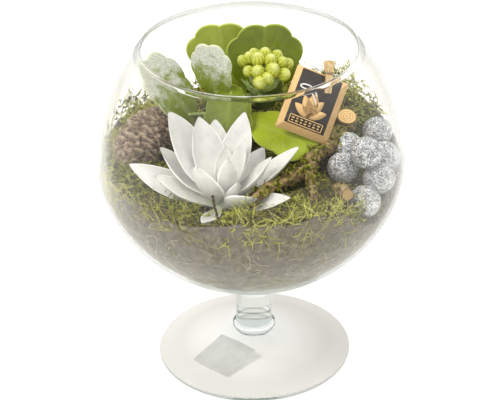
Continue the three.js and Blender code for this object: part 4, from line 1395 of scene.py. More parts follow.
    def build_cone_strands(self) -> None:
        """Bright bare strands on the mound behind the cone and under it."""
        random, count = self.random, self.by_cone
        along = random.uniform(-0.1, 1.25, count)
        x = -92 + 30 * along + random.normal(0, 3.5, count)
        y = -2 + 38 * along + random.normal(3, 4, count)
        root = joined(x, y, self.bed_top(x, y) - 0.5)
        inside = np.hypot(x, y) < self.ground.glass.room(root[:, 2]) - 2
        across, inward = random.normal(0.1, 0.5, count), random.normal(-0.2, 0.5, count)
        lead = unit(joined(across, inward, random.uniform(0.6, 1.8, count)))
        curl = random.normal(0, 0.4, (count, 3)) - np.array([-0.1, 0.1, 0.25])
        tint = np.clip(random.normal(0.86, 0.06, count), 0.5, 0.93)
        new = Strands(root, lead, curl, random.uniform(6, 15, count), tint)
        stock = Stock()
        self.kit.strands(stock, new.chosen(inside), bare=True, pale=0.3)
        stock.settle("cone_strands", [self.strand], "moss")

    def build_dry_stalk(self) -> None:
        """A dry stalk in front of the rosette: its radius waves along it as knots do."""
        places = [(-20.7, -84, 149), (-21.6, -85, 156), (-22.9, -85, 162), (-23.8, -84, 168.4)]
        rows = 24
        knots = 0.75 + 0.22 * np.sin(np.linspace(0, 40, rows))
        stock = Stock()
        stock.add_grid(tube(path_through(places, rows), knots, 9, EAST), along=0.42, tint=0.0)
        stock.settle("moss_dry_stalk", [self.strand], "moss")

    def build_wall_strands(self) -> None:
        """Strands pressed against the inside of the glass, from the moss's edge down over the soil."""
        random, count = self.random, self.at_glass
        angle = random.uniform(0, math.tau, count)
        _, edge = self.ground.at_wall(angle, self.ground.moss_top)
        depth = 62 * random.uniform(0, 1, count) ** 1.9 - 2
        z = np.maximum(edge - depth, 72)
        root = joined(*circle(self.ground.glass.room(z), angle), z)
        distance = np.linalg.norm(root[:, None] - self.kit.ball_places[None], axis=2).min(axis=1)
        clear = (distance > 21) & (np.hypot(root[:, 0] + 28, root[:, 1] + 88) > 11)
        around = joined(-np.sin(angle), np.cos(angle), 0)
        out = joined(np.cos(angle), np.sin(angle), 0)
        tilt = random.normal(0.3, 1.0, count)[:, None]
        sideways = around * np.cos(tilt) * np.sign(random.normal(size=(count, 1)))
        lead = unit(sideways + UP * np.sin(tilt) + 0.25 * out)
        curl = random.normal(0, 0.8, (count, 3)) + 0.3 * out
        length = random.uniform(6, 16, count)
        share = np.clip(depth / 40, 0, 1)
        high = np.clip(self.ground.mounds(root[:, 0], root[:, 1]) / 14, 0, 1)
        tint = np.clip(random.normal(0.52, 0.21, count) + 0.12 * share + 0.35 * high, 0, 0.9)
        tint = np.where(random.uniform(size=count) < 0.15 + 0.5 * share, 0.99, tint)
        mounded = (high > 0.2) & (depth < 20)
        tint = np.where(mounded, np.clip(0.82 + 0.15 * tint, 0.8, 0.92), tint)
        near = (depth < 8 + 12 * random.uniform(size=count) ** 2) | mounded
        new = Strands(root, lead, curl, length * np.where(near, 0.7, 0.8), tint)
        stock = Stock()
        self.kit.strands(stock, new.chosen(near & clear), pale=0.4)
        self.kit.strands(stock, new.chosen(~near & clear), 1, bare=True, pale=0.3)
        stock.settle("wall_strands", [self.strand, PaleFibre().material()], "moss")


# ---- the rosette


@dataclass(frozen=True)
class PointedLeaf:
    """A leaf from root to tip: its width, thickness and bow, its waves' seed, and its roll in degrees."""

    root: Array
    tip: Array
    width: float
    thickness: float
    belly: float
    seed: int
    roll: float = 0.0


@dataclass
class Rosette:
    """The white rosette: a heart with seven young leaves, and eighteen fleshy pointed leaves."""

    heart: tuple[float, float, float] = (-19.0, -54.0, 146.0)
    core: float = 6.0
    thickness: float = 3.4
    leaves: tuple = (
        (-61, 74, 38, 14), (76, 62, 35, 14), (59, 59, 59, 21), (118, 60, 56, 22),
        (-127, 58, 41, 21), (25, 68, 45, 15), (141.5, 52, 66, 27), (-50, 52, 27, 11),
        (1, 45, 45, 13), (95, 40, 57, 20), (159, 38, 52, 19), (-171, 32, 48, 20),
        (17, 31, 60, 17), (-43, 27, 30, 21), (170, 22, 63, 20), (54, 22, 50, 20),
        (-19, 14, 47, 14), (-108, 8, 38, 10),
    )

    TURNED = {
        5: (0, 1.0, 1.06), 12: (8, 2.0, 1.0), 14: (30, 0.5, 1.06),
        15: (24, 0.5, 1.0), 17: (-22, 0.0, 1.0), 18: (0, -1.2, 1.0),
    }

    def leaf(self, stock: Stock, leaf: PointedLeaf) -> None:
        """Adds a leaf: rings about a bowed line, wide below the middle and drawn to a point.

        A ring's half width is the width times a rise and a fall along the leaf; its edges stand up by
        a trough of cosine squared, and its back swells more than its face.

        Args:
            stock: what takes the leaf in.
            leaf: its place and sizes.
        """
        rows, columns = 40, 28
        t = (1 - np.cos(np.linspace(0, math.pi, rows))) / 2
        angle = full_turn(columns)[None, :]
        line = leaf.tip - leaf.root
        side = unit(np.cross(line, UP))
        face = unit(np.cross(side, line))
        turn = math.radians(leaf.roll)
        c, s = math.cos(turn), math.sin(turn)
        side, face = side * c + face * s, face * c - side * s
        t = t[:, None]
        wave = np.random.default_rng(leaf.seed).uniform(0, 6.3, 3)
        rising = 0.4 + 0.6 * smooth(t / 0.42)
        falling = np.clip(1 - np.clip((t - 0.5) / 0.5, 0, 1) ** 1.9, 0, 1) ** 0.9
        half = 0.5 * leaf.width * rising * falling
        depth = leaf.thickness * (0.45 + 0.55 * falling) * falling
        sway = 0.02 * leaf.width * np.sin(2.2 * math.pi * t + wave[0])
        curl = 0.35 * np.sin(5 * t + wave[1] + np.cos(angle)) * smooth(t * 3) * np.cos(angle) ** 2
        middle = -leaf.belly * np.sin(math.pi * t)
        ridge = 0.12 * depth * np.exp(-((np.cos(angle) / 0.25) ** 2)) * (np.sin(angle) < 0)
        swell = np.sin(angle) * depth * np.where(np.sin(angle) > 0, 0.2, 0.8) - ridge
        across = half * np.sign(np.cos(angle)) * np.abs(np.cos(angle)) ** 0.9 + sway
        lift = middle + 0.3 * half * np.cos(angle) ** 2 + swell + curl
        points = leaf.root + t[..., None] * line + across[..., None] * side + lift[..., None] * face
        stock.add_grid(points, edge=np.abs(np.cos(angle)), along=t)

    def build(self) -> None:
        """Makes the heart and each leaf as a piece of its own."""
        skin = WhiteLeafSkin().material()
        heart = np.array(self.heart)
        stock = Stock()
        t = np.linspace(0.02, 0.98, 14)
        path = heart + UP * (17 * (0.47 - t))[:, None]
        stock.add_grid(tube(path, self.core * np.sin(math.pi * t) ** 0.6, 24, EAST), along=0.05, edge=0.2)
        random = np.random.default_rng(7)
        for i in range(7):
            azimuth, rise = GOLDEN_TURN * i, math.radians(86 - 3.2 * min(i, 4) - 4 * max(i - 4, 0))
            length = 14 + 2.2 * min(i, 3) + random.uniform(0, 2)
            out = np.array([math.cos(azimuth), math.sin(azimuth), 0])
            root = heart + 1.5 * out
            tip = root + length * (out * math.cos(rise) + UP * math.sin(rise))
            self.leaf(stock, PointedLeaf(root, tip, 5.5 + 0.8 * min(i, 4), 2.2, 0.8, i))
        stock.settle("rosette_heart_fine", [skin], "white_leaf", "white_rosette_heart")
        for i, (azimuth, rise, length, width) in enumerate(self.leaves):
            turn, lift = math.radians(azimuth), math.radians(rise)
            out = np.array([math.cos(turn), math.sin(turn), 0])
            tip = heart + length * (out * math.cos(lift) + UP * math.sin(lift))
            root = heart + 0.75 * self.core * out + UP * (-4 + 10 * math.sin(lift))
            roll, drop, stretch = self.TURNED.get(i + 1, (0.0, 0.0, 1.0))
            stock = Stock()
            ends = root - drop * UP, root + stretch * (tip - root) - drop * UP
            self.leaf(stock, PointedLeaf(*ends, width, self.thickness, 0.05 * length, 20 + i, roll))
            stock.settle(f"white_leaf_{i + 1}_fine", [skin], "white_leaf", f"white_leaf_{i + 1}")


# ---- the flowering succulent


@dataclass(frozen=True)
class BroadLeaf:
    """The place, size and bend of one scalloped leaf."""

    name: str
    tone: LeafTone
    centre: tuple[float, float, float]
    along: tuple[float, float, float]
    facing: tuple[float, float, float]
    length: float
    width: float
    thickness: float
    bend: float
    cup: float
    wave: float
    phase: float
    node: float


@dataclass
class FloweringPlant:
    """The succulent in bud: its stem, its head of ribbed buds and its scalloped leaves."""

    stem: tuple = ((-4, 36, 141), (-3, 33, 160), (1, 25, 178), (9, 15, 194))
    stem_radius: float = 3.2
    buds: int = 15
    bud_radius: float = 5.1
    dome: float = 13.2
    scallops: int = 8
    leaves: tuple[BroadLeaf, ...] = (
        BroadLeaf(
            "back_right", LeafTone.DARK, (10, 45, 196), (0.02, 0.12, 1), (0.05, -1, 0.1),
            52, 50, 2, 0.12, 0.16, 0.8, 0.4, 0.52,
        ),
        BroadLeaf(
            "back_left", LeafTone.OLIVE, (-17, 55, 194), (-0.1, 0.08, 1), (-0.1, -1, 0.1),
            50, 48, 2, 0.1, 0.14, 0.8, 1.9, 0.45,
        ),
        BroadLeaf(
            "silver", LeafTone.SILVER, (-24, 9, 206), (-0.12, -0.1, 1), (-0.45, -0.9, 0.1),
            42, 29, 1.9, 0.15, -0.1, 0.5, 0.9, 0.66,
        ),
        BroadLeaf(
            "left", LeafTone.SILVER, (-51, 13, 191), (-0.54, 0.08, 0.84), (0.62, -0.66, 0.36),
            58, 32, 2, 0.08, 0.2, 0.6, 2.2, 0.5,
        ),
        BroadLeaf(
            "low_right", LeafTone.FRESH, (20, -6, 168), (0.9, -0.3, -0.3), (0.12, -0.55, 0.83),
            52, 33, 2.1, 0.12, 0.06, 0.8, 0.2, 0.36,
        ),
        BroadLeaf(
            "middle", LeafTone.DARK, (-14, 0, 181), (-0.1, -0.5, -0.8), (-0.15, -0.85, 0.5),
            38, 32, 2, 0.16, 0.08, 0.7, 1.2, 0.72,
        ),
        BroadLeaf(
            "inner_right", LeafTone.DARK, (9, 28, 182), (0.5, -0.1, 0.8), (-0.1, -0.9, 0.3),
            32, 24, 1.9, 0.1, 0.12, 0.5, 0.7, 0.62,
        ),
        BroadLeaf(
            "back", LeafTone.DARK, (-10, 68, 178), (-0.25, 0.8, 0.5), (-0.1, -0.5, 0.85),
            42, 32, 2, 0.12, 0.1, 0.6, 1.5, 0.33,
        ),
    )

    def stem_path(self) -> Array:
        """The stem's middle in 200 even steps."""
        return path_through(self.stem, 200)

    def blade(self, stock: Stock, leaf: BroadLeaf) -> None:
        """Adds a blade: an oval whose reach dips between its lobes, bent, cupped and waved.

        Args:
            stock: what takes the blade in.
            leaf: its place and sizes.
        """
        along = unit(np.array(leaf.along))
        side = unit(np.cross(np.array(leaf.facing), along))
        face = unit(np.cross(along, side))
        columns = 18 * self.scallops
        share = np.array([0.03, 0.12, 0.24, 0.36, 0.48, 0.6, 0.7, 0.79, 0.86, 0.915, 0.955, 0.98, 0.994, 1.0])
        ring = np.concatenate([share, share[-2::-1]])[:, None]
        upper = np.concatenate([np.ones(13), [0], -np.ones(13)])[:, None]
        angle = full_turn(columns)[None, :]
        lobes = np.abs(np.sin(self.scallops * angle / 2)) ** 0.8
        stalk_side = smooth((np.abs(angle - math.pi) - 0.25) / 0.7)
        reach = ring * (1 - 0.1 * stalk_side * (1 - lobes) * ring**2)
        x = 0.5 * leaf.length * reach * np.cos(angle)
        y = 0.5 * leaf.width * reach * np.sin(angle) * (1 + 0.2 * np.cos(angle))
        rounded = np.sqrt(np.clip(1 - ((ring - 0.94) / 0.06).clip(0, 1) ** 2, 0, 1))
        swell = 0.5 * leaf.thickness * upper * rounded * (1 + 0.25 * (1 - ring**2))
        z = -leaf.bend * x * x / leaf.length + leaf.cup * y * y / leaf.width
        z = z + leaf.wave * ring**2 * np.sin(3 * angle + leaf.phase) + swell
        points = np.array(leaf.centre) + x[..., None] * along + y[..., None] * side + z[..., None] * face
        turned = (angle + math.pi) % math.tau - math.pi
        midrib = np.exp(-((y / (0.7 + 0.02 * (leaf.length / 2 - x))) ** 2)) * (x > -0.5 * leaf.length)
        fan = np.abs(np.sin(self.scallops * turned / 2 + 0.25 * np.sin(3 * ring))) ** 26
        vein = np.clip(midrib + 0.6 * fan * (1 - smooth((ring - 0.55) / 0.4)) * smooth(ring / 0.15), 0, 1)
        stock.add_grid(points, edge=ring, along=0.5 + x / leaf.length, tint=vein)

    def stalk(self, stock: Stock, leaf: BroadLeaf) -> None:
        """Adds the stalk, from the stem to a third inside the blade.

        Args:
            stock: what takes the stalk in.
            leaf: its leaf.
        """
        along = unit(np.array(leaf.along))
        start = self.stem_path()[int(199 * leaf.node)]
        join = np.array(leaf.centre) - 0.34 * leaf.length * along
        middle = start + 0.55 * (join - start) - 1.5 * UP
        path = path_through([start, middle, join], 20)
        grid = tube(path, 1.9 - 0.7 * np.linspace(0, 1, 20), 12, np.array([0.1, 0.3, 0.02]) + along)
        stock.add_grid(grid, 1, along=np.linspace(0.5, 1, 20)[:, None])

    def bud(self, stock: Stock, centre: Array, out: Array, size: float) -> None:
        """Adds a bud: a ball whose radius rises on ten ribs, drawn to a small point.

        Args:
            stock: what takes the bud in.
            centre: its middle.
            out: the way that it points.
            size: its radius.
        """
        side = unit(np.cross(out, np.array([0.3, 0.9, 0.2])))
        other = np.cross(out, side)
        way = np.linspace(0.03, 0.97, 16)[:, None]
        angle = full_turn(40)[None, :]
        rib = np.abs(np.cos(5 * angle + 1.2 * way)) ** 0.7
        round_part = np.sin(math.pi * way) ** 0.85
        radius = size * (0.965 + 0.075 * rib * np.sin(math.pi * way) ** 0.5) * round_part
        height = size * (1.06 * np.cos(math.pi * way) + 0.12 * np.clip(0.2 - way, 0, 1) / 0.2)
        offset = radius[..., None] * (np.cos(angle)[..., None] * side + np.sin(angle)[..., None] * other)
        points = centre + offset + height[..., None] * out
        stock.add_grid(points, edge=rib, along=1 - way)

    def bract(self, stock: Stock, root: Array, tip: Array, width: float) -> None:
        """Adds a small pointed leaf: flat rings that widen and close again.

        Args:
            stock: what takes it in.
            root: where it starts.
            tip: where it ends.
            width: its greatest width.
        """
        t = np.linspace(0.02, 0.98, 12)
        path = path_through([root, (root + tip) / 2 - 1.2 * UP, tip], 12)
        wide = 0.5 * width * np.sin(math.pi * t**0.8)
        angle = full_turn(12)
        line = unit(tip - root)
        side = unit(np.cross(line, UP + 0.05))
        face = np.cross(side, line)
        across = wide[:, None] * np.cos(angle)[None]
        deep = np.minimum(0.5, 0.3 * wide)[:, None] * np.sin(angle)[None] + 0.2 * across**2 / width
        points = path[:, None] + across[..., None] * side + deep[..., None] * face
        stock.add_grid(points, 1, along=0.55 + 0.45 * t[:, None])

    def build_head(self) -> None:
        """The stem, the dome under the buds, the buds by the sunflower rule, small buds and bracts."""
        stock = Stock()
        path = path_through(self.stem, 40)
        way = np.linspace(0, 1, 40)
        radius = self.stem_radius * (1 - 0.25 * way) * (1 + 0.06 * np.sin(40 * way))
        stock.add_grid(tube(path, radius, 16, EAST), 1, along=way[:, None])
        top = np.array(self.stem[-1], float)
        tilt, right = unit(np.array([0.1, -0.3, 0.95])), unit(np.array([1, 0, -0.1]))
        back = unit(np.cross(tilt, right))
        t = np.linspace(0.03, 0.97, 14)
        middle = top + 7.6 * tilt + (9.6 * np.cos(math.pi * t))[:, None] * tilt
        stock.add_grid(tube(middle, 10.4 * np.sin(math.pi * t), 24, EAST), 1, along=0.7)
        random = np.random.default_rng(11)
        for i in range(self.buds + 9):
            small = i >= self.buds
            place = i if not small else 1.3 * (i - self.buds) + 0.6
            spread = math.sqrt((place + 0.35) / self.buds)
            azimuth = GOLDEN_TURN * place + 0.7 + 0.25 * random.uniform(-1, 1)
            lean = min(spread * 1.12, 1.08)
            around = right * math.cos(azimuth) + back * math.sin(azimuth)
            out = tilt * math.cos(lean) + math.sin(lean) * around
            size = self.bud_radius * (0.98 - 0.24 * random.uniform()) * (1 - 0.1 * min(spread, 1))
            size = size * (0.7 if small else 1)
            wide = self.dome * 1.24 - 1.8 * small + random.uniform(-0.8, 0.8)
            centre = top + 8.6 * tilt + wide * (out - 0.34 * tilt * out.dot(tilt))
            self.bud(stock, centre, unit(out + 0.15 * tilt), size)
        for i in range(9):
            azimuth = GOLDEN_TURN * i + 0.2
            around = right * math.cos(azimuth) + back * math.sin(azimuth)
            root = path[33 - 2 * (i // 3)] + 2 * around
            self.bract(stock, root, root + (11 + i % 3) * unit(around + 0.25 * tilt), 4.5)
        materials = [BudSkin().material(), StemSkin().material()]
        stock.settle("flower_head_in_bud", materials, "bud", "flower_stem_with_buds")

    def build(self) -> None:
        """Makes the head and each leaf with its stalk."""
        self.build_head()
        skins = {tone_name: BroadLeafSkin(tone_name).material() for tone_name in LeafTone}
        stem = bpy.data.materials["stem_skin"]
        for leaf in self.leaves:
            stock = Stock()
            self.blade(stock, leaf)
            self.stalk(stock, leaf)
            slot = "silver_leaf" if leaf.tone is LeafTone.SILVER else "green_leaf"
            materials = [skins[leaf.tone], stem]
            stock.settle(f"broad_leaf_{leaf.name}", materials, slot, f"scalloped_leaf_{leaf.name}")


# ---- laid in


@dataclass
class PineCone:
    """The closed cone: lozenge scales in two sets of spirals, each with a raised middle."""

    low: tuple[float, float, float] = (-83.5, -14.0, 151.0)
    high: tuple[float, float, float] = (-52.0, 24.0, 174.0)
    radius: float = 16.0
    relief: float = 2.6

    def build(self) -> None:
        """The radius is the cone's fullness times its width plus a scale's height where spirals cross."""
        low, high = np.array(self.low), np.array(self.high)
        line = high - low
        side = unit(np.cross(line, UP))
        face = unit(np.cross(side, line))
        way = np.linspace(0.012, 0.988, 165)[:, None]
        turn = np.linspace(0, 1, 176, endpoint=False)[None, :]
        angle = math.tau * turn
        fullness = np.sin(math.pi * way**0.8) ** 0.62
        stray = 0.42 * ripple(3 * np.sin(angle), 3 * np.cos(angle), 16 * way, 2.6, 9)
        one = (8 * turn + 9 * way + stray) % 1.0
        two = (5 * turn - 9 * way + 0.8 * stray) % 1.0
        lozenge = (1 - np.abs(2 * one - 1)) * (1 - np.abs(2 * two - 1))
        lip = np.clip(1.6 * lozenge, 0, 1) ** 0.6 * (0.6 + 0.4 * np.clip(one - two + 1, 0, 2) / 2)
        boss = np.exp(-(((one - 0.5) ** 2 + (two - 0.5) ** 2) / 0.012))
        spots = [16 * np.sin(angle), 16 * np.cos(angle), 50 * way]
        rough = 0.8 * ripple(*spots, 4, 8) + 0.8 * ripple(*spots, 1.5, 10)
        height = lip + 0.35 * boss
        radius = fullness * (self.radius - 1.6 + self.relief * height) + rough * fullness
        offset = (radius * np.cos(angle))[..., None] * side + (radius * np.sin(angle))[..., None] * face
        points = low + way[..., None] * line + offset
        stock = Stock()
        stock.add_grid(points, edge=np.clip(height, 0, 1), along=way)
        stock.settle("pine_cone_scaled", [ConeScale().material()], "cone", "pine_cone")


@dataclass(frozen=True)
class Limb:
    """A limb: the places that it passes, its radius at both ends, its steps, sides and tufts of moss.

    The seed is the tufts', aside is a way that the limb never runs, and knobby is how much its radius waves.
    """

    places: tuple
    thick: float
    thin: float
    rows: int
    sides: int
    tufts: int
    seed: int
    aside: tuple[float, float, float] = (0.0, 0.0, 1.0)
    knobby: float = 1.0


@dataclass
class Branch:
    """The mossy branch with a sawn stump and a fork, and the short twig with its sawn end."""

    kit: StrandKit
    stump: Limb = Limb(((61.5, 24, 152), (63, 17, 168)), 7.2, 6.9, 22, 40, 30, 31, (1.0, 0.2, 0.0), 0.3)
    main: Limb = Limb(
        (
            (61.5, 21, 159), (57, 8, 159.5), (50, -7, 159.5), (41, -19, 158.5),
            (33, -36, 158), (21, -48, 157.5), (9, -56, 156), (-2, -68, 152.5),
        ),
        5.6, 3.4, 110, 32, 170, 32,
    )
    fork: Limb = Limb(
        ((34, -33, 158), (37, -44, 156.5), (38, -56, 154.5), (39, -64, 151.5)), 4.0, 2.6, 44, 24, 50, 33
    )
    twig: Limb = Limb(
        ((59, -62, 154.5), (57, -53, 152), (54, -42, 148)), 3.9, 3.9, 30, 28, 16, 34, (1.0, 0.2, 0.0)
    )

    def wood(self, stock: Stock, limb: Limb) -> Array:
        """Adds a knobbly limb: the radius waves by the angle and the way, with fine lumps.

        Args:
            stock: what takes the limb in.
            limb: its places and sizes.

        Returns:
            The limb's points, shape (rows, sides, 3).
        """
        path = path_through(list(limb.places), limb.rows)
        way = np.linspace(0, 1, limb.rows)[:, None]
        angle = full_turn(limb.sides)[None, :]
        knobs = 1 + limb.knobby * (0.1 * np.sin(3 * angle + 21 * way) + 0.08 * np.sin(31 * way))
        radius = (limb.thick + (limb.thin - limb.thick) * way) * knobs
        spots = np.moveaxis(tube(path, radius, limb.sides, limb.aside), -1, 0)
        lumps = 0.45 * ripple(*spots, 3.2, 21) + 0.3 * ripple(*spots, 1.5, 22)
        grid = tube(path, radius + lumps - 0.2, limb.sides, limb.aside)
        stock.add_grid(grid)
        return grid

    def sawn_end(self, stock: Stock, ring: Array, out: Array, weathered: float = 0) -> None:
        """Adds a thin disc of pale wood over a limb's end: rings from the middle to the bark.

        Args:
            stock: what takes the disc in.
            ring: the limb's last ring of points.
            out: the way that the end faces.
            weathered: how brown the wood is, from 0 to 1.
        """
        middle = ring.mean(axis=0)
        far = np.linalg.norm(ring - middle, axis=1, keepdims=True)
        ring = middle + (ring - middle) * (0.3 + 0.7 * far.mean() / far)
        shares = np.array([0.04, 0.25, 0.5, 0.75, 0.93, 0.97])
        sheets = []
        for lift, order in ((0.5, shares), (-0.8, shares[::-1])):
            for share in order:
                round_off = 0.3 * (share > 0.95) * (lift > 0)
                sheets.append(middle + share * (ring - middle) + (lift - round_off) * out)
        edge = np.concatenate([shares, np.ones(6)])[:, None]
        stock.add_grid(np.array(sheets), 1, edge=edge, tint=weathered)

    def tufts(self, stock: Stock, grid: Array, limb: Limb) -> None:
        """Adds moss strands over a limb, mostly on its upper side.

        Args:
            stock: what takes the strands in.
            grid: the limb's points.
            limb: its count of strands and their seed.
        """
        random, count = np.random.default_rng(limb.seed), limb.tufts
        rows = random.integers(2, grid.shape[0] - 2, count * 2)
        columns = random.integers(0, grid.shape[1], count * 2)
        root = grid[rows, columns]
        out = unit(root - grid.mean(axis=1)[rows])
        chosen = np.argsort(-out[:, 2] + 1.2 * random.uniform(size=len(out)))[:count]
        root, out = root[chosen], out[chosen]
        lead = unit(out + random.normal(0, 0.7, out.shape))
        curl = random.normal(0, 0.35, out.shape) - 0.25 * UP
        tint = np.clip(random.normal(0.55, 0.2, count), 0, 1)
        length = random.uniform(1.6, 5.0, count)
        self.kit.strands(stock, Strands(root - 0.4 * out, lead, curl, length, tint), 2)

    def build(self) -> None:
        """Makes the branch and the twig with their sawn ends and tufts."""
        materials = [MossyBark().material(), SawnWood().material(), bpy.data.materials["moss_strand"]]
        stock = Stock()
        stump = self.wood(stock, self.stump)
        self.sawn_end(stock, stump[-1], unit(np.subtract(self.stump.places[1], self.stump.places[0])))
        grids = [stump, self.wood(stock, self.main), self.wood(stock, self.fork)]
        for grid, limb in zip(grids, (self.stump, self.main, self.fork)):
            self.tufts(stock, grid, limb)
        stock.settle("mossy_branch_rough", materials, "bark", "mossy_branch")
        stock = Stock()
        twig = self.wood(stock, self.twig)
        self.sawn_end(stock, twig[0], unit(np.subtract(self.twig.places[0], self.twig.places[1])), 1)
        self.tufts(stock, twig, self.twig)
        stock.settle("cut_twig_rough", materials, "bark", "cut_twig")


@dataclass
class GlitterBalls:
    """Seven foam balls covered with silver glitter."""

    radius: float = 10.3
    places: tuple = (
        (70.6, -48.6, 142), (81, -28.4, 147.3), (58.5, -23, 152.2), (62.8, -1.6, 155),
        (72.6, -28.6, 165.9), (83.4, 19.4, 155), (86.1, -6.4, 150.5),
    )

    def build(self) -> None:
        """Each ball's radius carries fine lumps, so that its outline is as rough as its skin."""
        glitter = SilverGlitter().material()
        way = np.linspace(0.012, 0.988, 46)[:, None]
        angle = full_turn(72)[None, :]
        direction = joined(*circle(np.sin(math.pi * way), angle), np.cos(math.pi * way))
        for i, place in enumerate(self.places):
            spots = np.moveaxis(self.radius * direction + 40 * i, -1, 0)
            lumps = 0.1 * ripple(*spots, 1.1, 51) + 0.08 * ripple(*spots, 0.6, 52)
            points = np.array(place) + direction * (self.radius - 0.15 + lumps)[..., None]
            stock = Stock()
            stock.add_grid(points)
            name = f"glitter_ball_{i + 1}"
            stock.settle(f"{name}_rough", [glitter], "glitter", name)


# ---- the tag


@dataclass
class Tag:
    """The kraft tag with its dark print, its wooden peg with a wound spring, and its white string."""

    centre: tuple[float, float, float] = (39.4, -0.8, 186.1)
    width: float = 36.0
    height: float = 42.0
    thickness: float = 0.9
    peg_turn: float = 17.0
    cord: float = 0.96

    def __post_init__(self) -> None:
        """Works out the tag's own directions: across, up the card, and out of its face."""
        self.across = unit(np.array([0.9, 0.04, -0.436]))
        face = np.array([0.21, -0.88, 0.43])
        self.face = unit(face - self.across * face.dot(self.across))
        self.upward = unit(np.cross(self.face, self.across))
        turn = math.radians(self.peg_turn)
        self.peg_across = self.across * math.cos(turn) + self.upward * math.sin(turn)
        self.peg_up = -self.across * math.sin(turn) + self.upward * math.cos(turn)
        self.peg_centre = self.at(np.array([3, self.height / 2 + 1.6, self.thickness / 2]))

    def at(self, local: Array) -> Array:
        """Places in the tag's own directions carried to the part's frame."""
        return np.array(self.centre) + local @ np.stack([self.across, self.upward, self.face])

    def at_peg(self, local: Array) -> Array:
        """Places in the peg's own directions carried to the part's frame."""
        return self.peg_centre + local @ np.stack([self.peg_across, self.peg_up, self.face])

    def plate(self, stock: Stock, outline: Array, low: float, high: float, slot: int) -> None:
        """Adds a flat plate: an outline star-shaped about its middle, between two heights over the card.

        Args:
            stock: what takes the plate in.
            outline: places (n, 2) in the card's plane.
            low: the height of its back.
            high: the height of its front.
            slot: the material's number.
        """
        middle = outline.mean(axis=0)
        rings = []
        for share, lift in ((0.02, low), (1, low), (1, high), (0.02, high)):
            x, y = (middle + share * (outline - middle)).T
            rings.append(joined(x, y, lift))
        stock.add_grid(self.at(np.array(rings)), slot)

    def rounded(self, half_width: float, half_height: float, corner: float, middle: tuple = (0, 0)) -> Array:
        """A rectangle's outline with round corners: four quarter turns.

        Args:
            half_width: half of its width.
            half_height: half of its height.
            corner: the corners' radius.
            middle: its middle in the card's plane.

        Returns:
            Places (n, 2).
        """
        turn = np.linspace(0, math.pi / 2, 7)
        quarters = []
        for k, (sx, sy) in enumerate(((1, 1), (-1, 1), (-1, -1), (1, -1))):
            angle = turn + k * math.pi / 2
            cx, cy = sx * (half_width - corner), sy * (half_height - corner)
            quarters.append(np.column_stack([cx + corner * np.cos(angle), cy + corner * np.sin(angle)]))
        return np.vstack(quarters) + np.array(middle)

    def petal(self, x: float, y: float, turn: float, length: float, width: float) -> Array:
        """A leaf's outline: half width is a sine of the way along, to a power.

        Args:
            x: where it starts, across the card.
            y: where it starts, up the card.
            turn: its direction in radians.
            length: its length.
            width: its width.

        Returns:
            Places (n, 2).
        """
        t = np.linspace(0, 1, 13)
        side = 0.5 * width * np.sin(math.pi * t) ** 0.8
        along = np.concatenate([t, t[-2:0:-1]]) * length
        across = np.concatenate([side, -side[-2:0:-1]])
        c, s = math.cos(turn), math.sin(turn)
        return np.column_stack([x + along * c - across * s, y + along * s + across * c])

    def build_card(self) -> None:
        """The card with a dark panel, and on it a plain rosette over two framed rows of small blocks."""
        stock = Stock()
        half_w, half_h = self.width / 2, self.height / 2
        self.plate(stock, self.rounded(half_w, half_h, 0.5), 0, self.thickness, 0)
        top = self.thickness
        self.plate(stock, self.rounded(half_w - 4.0, half_h - 2.9, 0.3, (0, 2.2)), top - 0.1, top + 0.05, 1)
        layer = (top - 0.05, top + 0.1)
        bare = [self.petal(0, -8.9, math.pi / 2, 16.5, 8.4)]
        for side in (-1, 1):
            for reach, length, width in ((0.58, 15.4, 6.6), (1.12, 14.2, 5.8)):
                turn = math.pi / 2 + side * reach
                bare.append(self.petal(side * 1.6, -8.6, turn, length, width))
        bare.append(self.rounded(11.6, 0.28, 0.1, (0, -9.9)))
        bare.append(self.rounded(11.6, 0.28, 0.1, (0, -14.9)))
        for side in (-1, 1):
            bare.append(self.rounded(0.28, 2.7, 0.1, (side * 11.4, -12.4)))
        for row, y in enumerate((-11.5, -13.3)):
            for column in range(7):
                half = 0.95 - 0.25 * ((column + row) % 2)
                bare.append(self.rounded(half, 0.42, 0.15, (-9.0 + 3.0 * column, y)))
        for outline in bare:
            self.plate(stock, outline, *layer, 0)
        materials = [PrintedCard().material(), PrintedCard("dark_ink", "#3f3b39", "#5b534c", 0.6).material()]
        stock.settle("kraft_tag_printed", materials, "kraft_card", "paper_tag")

    def peg_half(self, name: str, sign: int, wood: Material) -> None:
        """One half of the peg: its side outline carried across its width, narrower at both faces.

        Args:
            name: the node that it stands for.
            sign: 1 in front of the card and -1 behind it.
            wood: its material.
        """
        depth, groove = 2.7, 1.9
        outline = [(0, -12.6), (1.6, -12.6), (2.7, -3.5), (2.7, -1.2), (2.1, -1.0), (groove, 0)]
        outline += [(2.1, 1.0), (2.7, 1.2), (3.6, 8.4), (1.85, 8.4), (0.9, 4.6), (0, 1.5)]
        outline += [(0.35, 0), (0, -1.5), (0, -7), (0.5, -8), (0, -9)]
        side = np.array(outline)
        middle = np.array([depth / 2, -2.0])
        rings = []
        for share, x in ((0.05, -2.3), (0.86, -2.3), (1.0, -2.0), (1.0, 2.0), (0.86, 2.3), (0.05, 2.3)):
            shape = middle + (side - middle) * share
            rings.append(self.at_peg(joined(x, shape[:, 1], sign * (0.8 + shape[:, 0]))))
        stock = Stock()
        stock.add_grid(np.array(rings))
        stock.settle(f"{name}_planed", [wood], "peg_wood", name, flat=True)

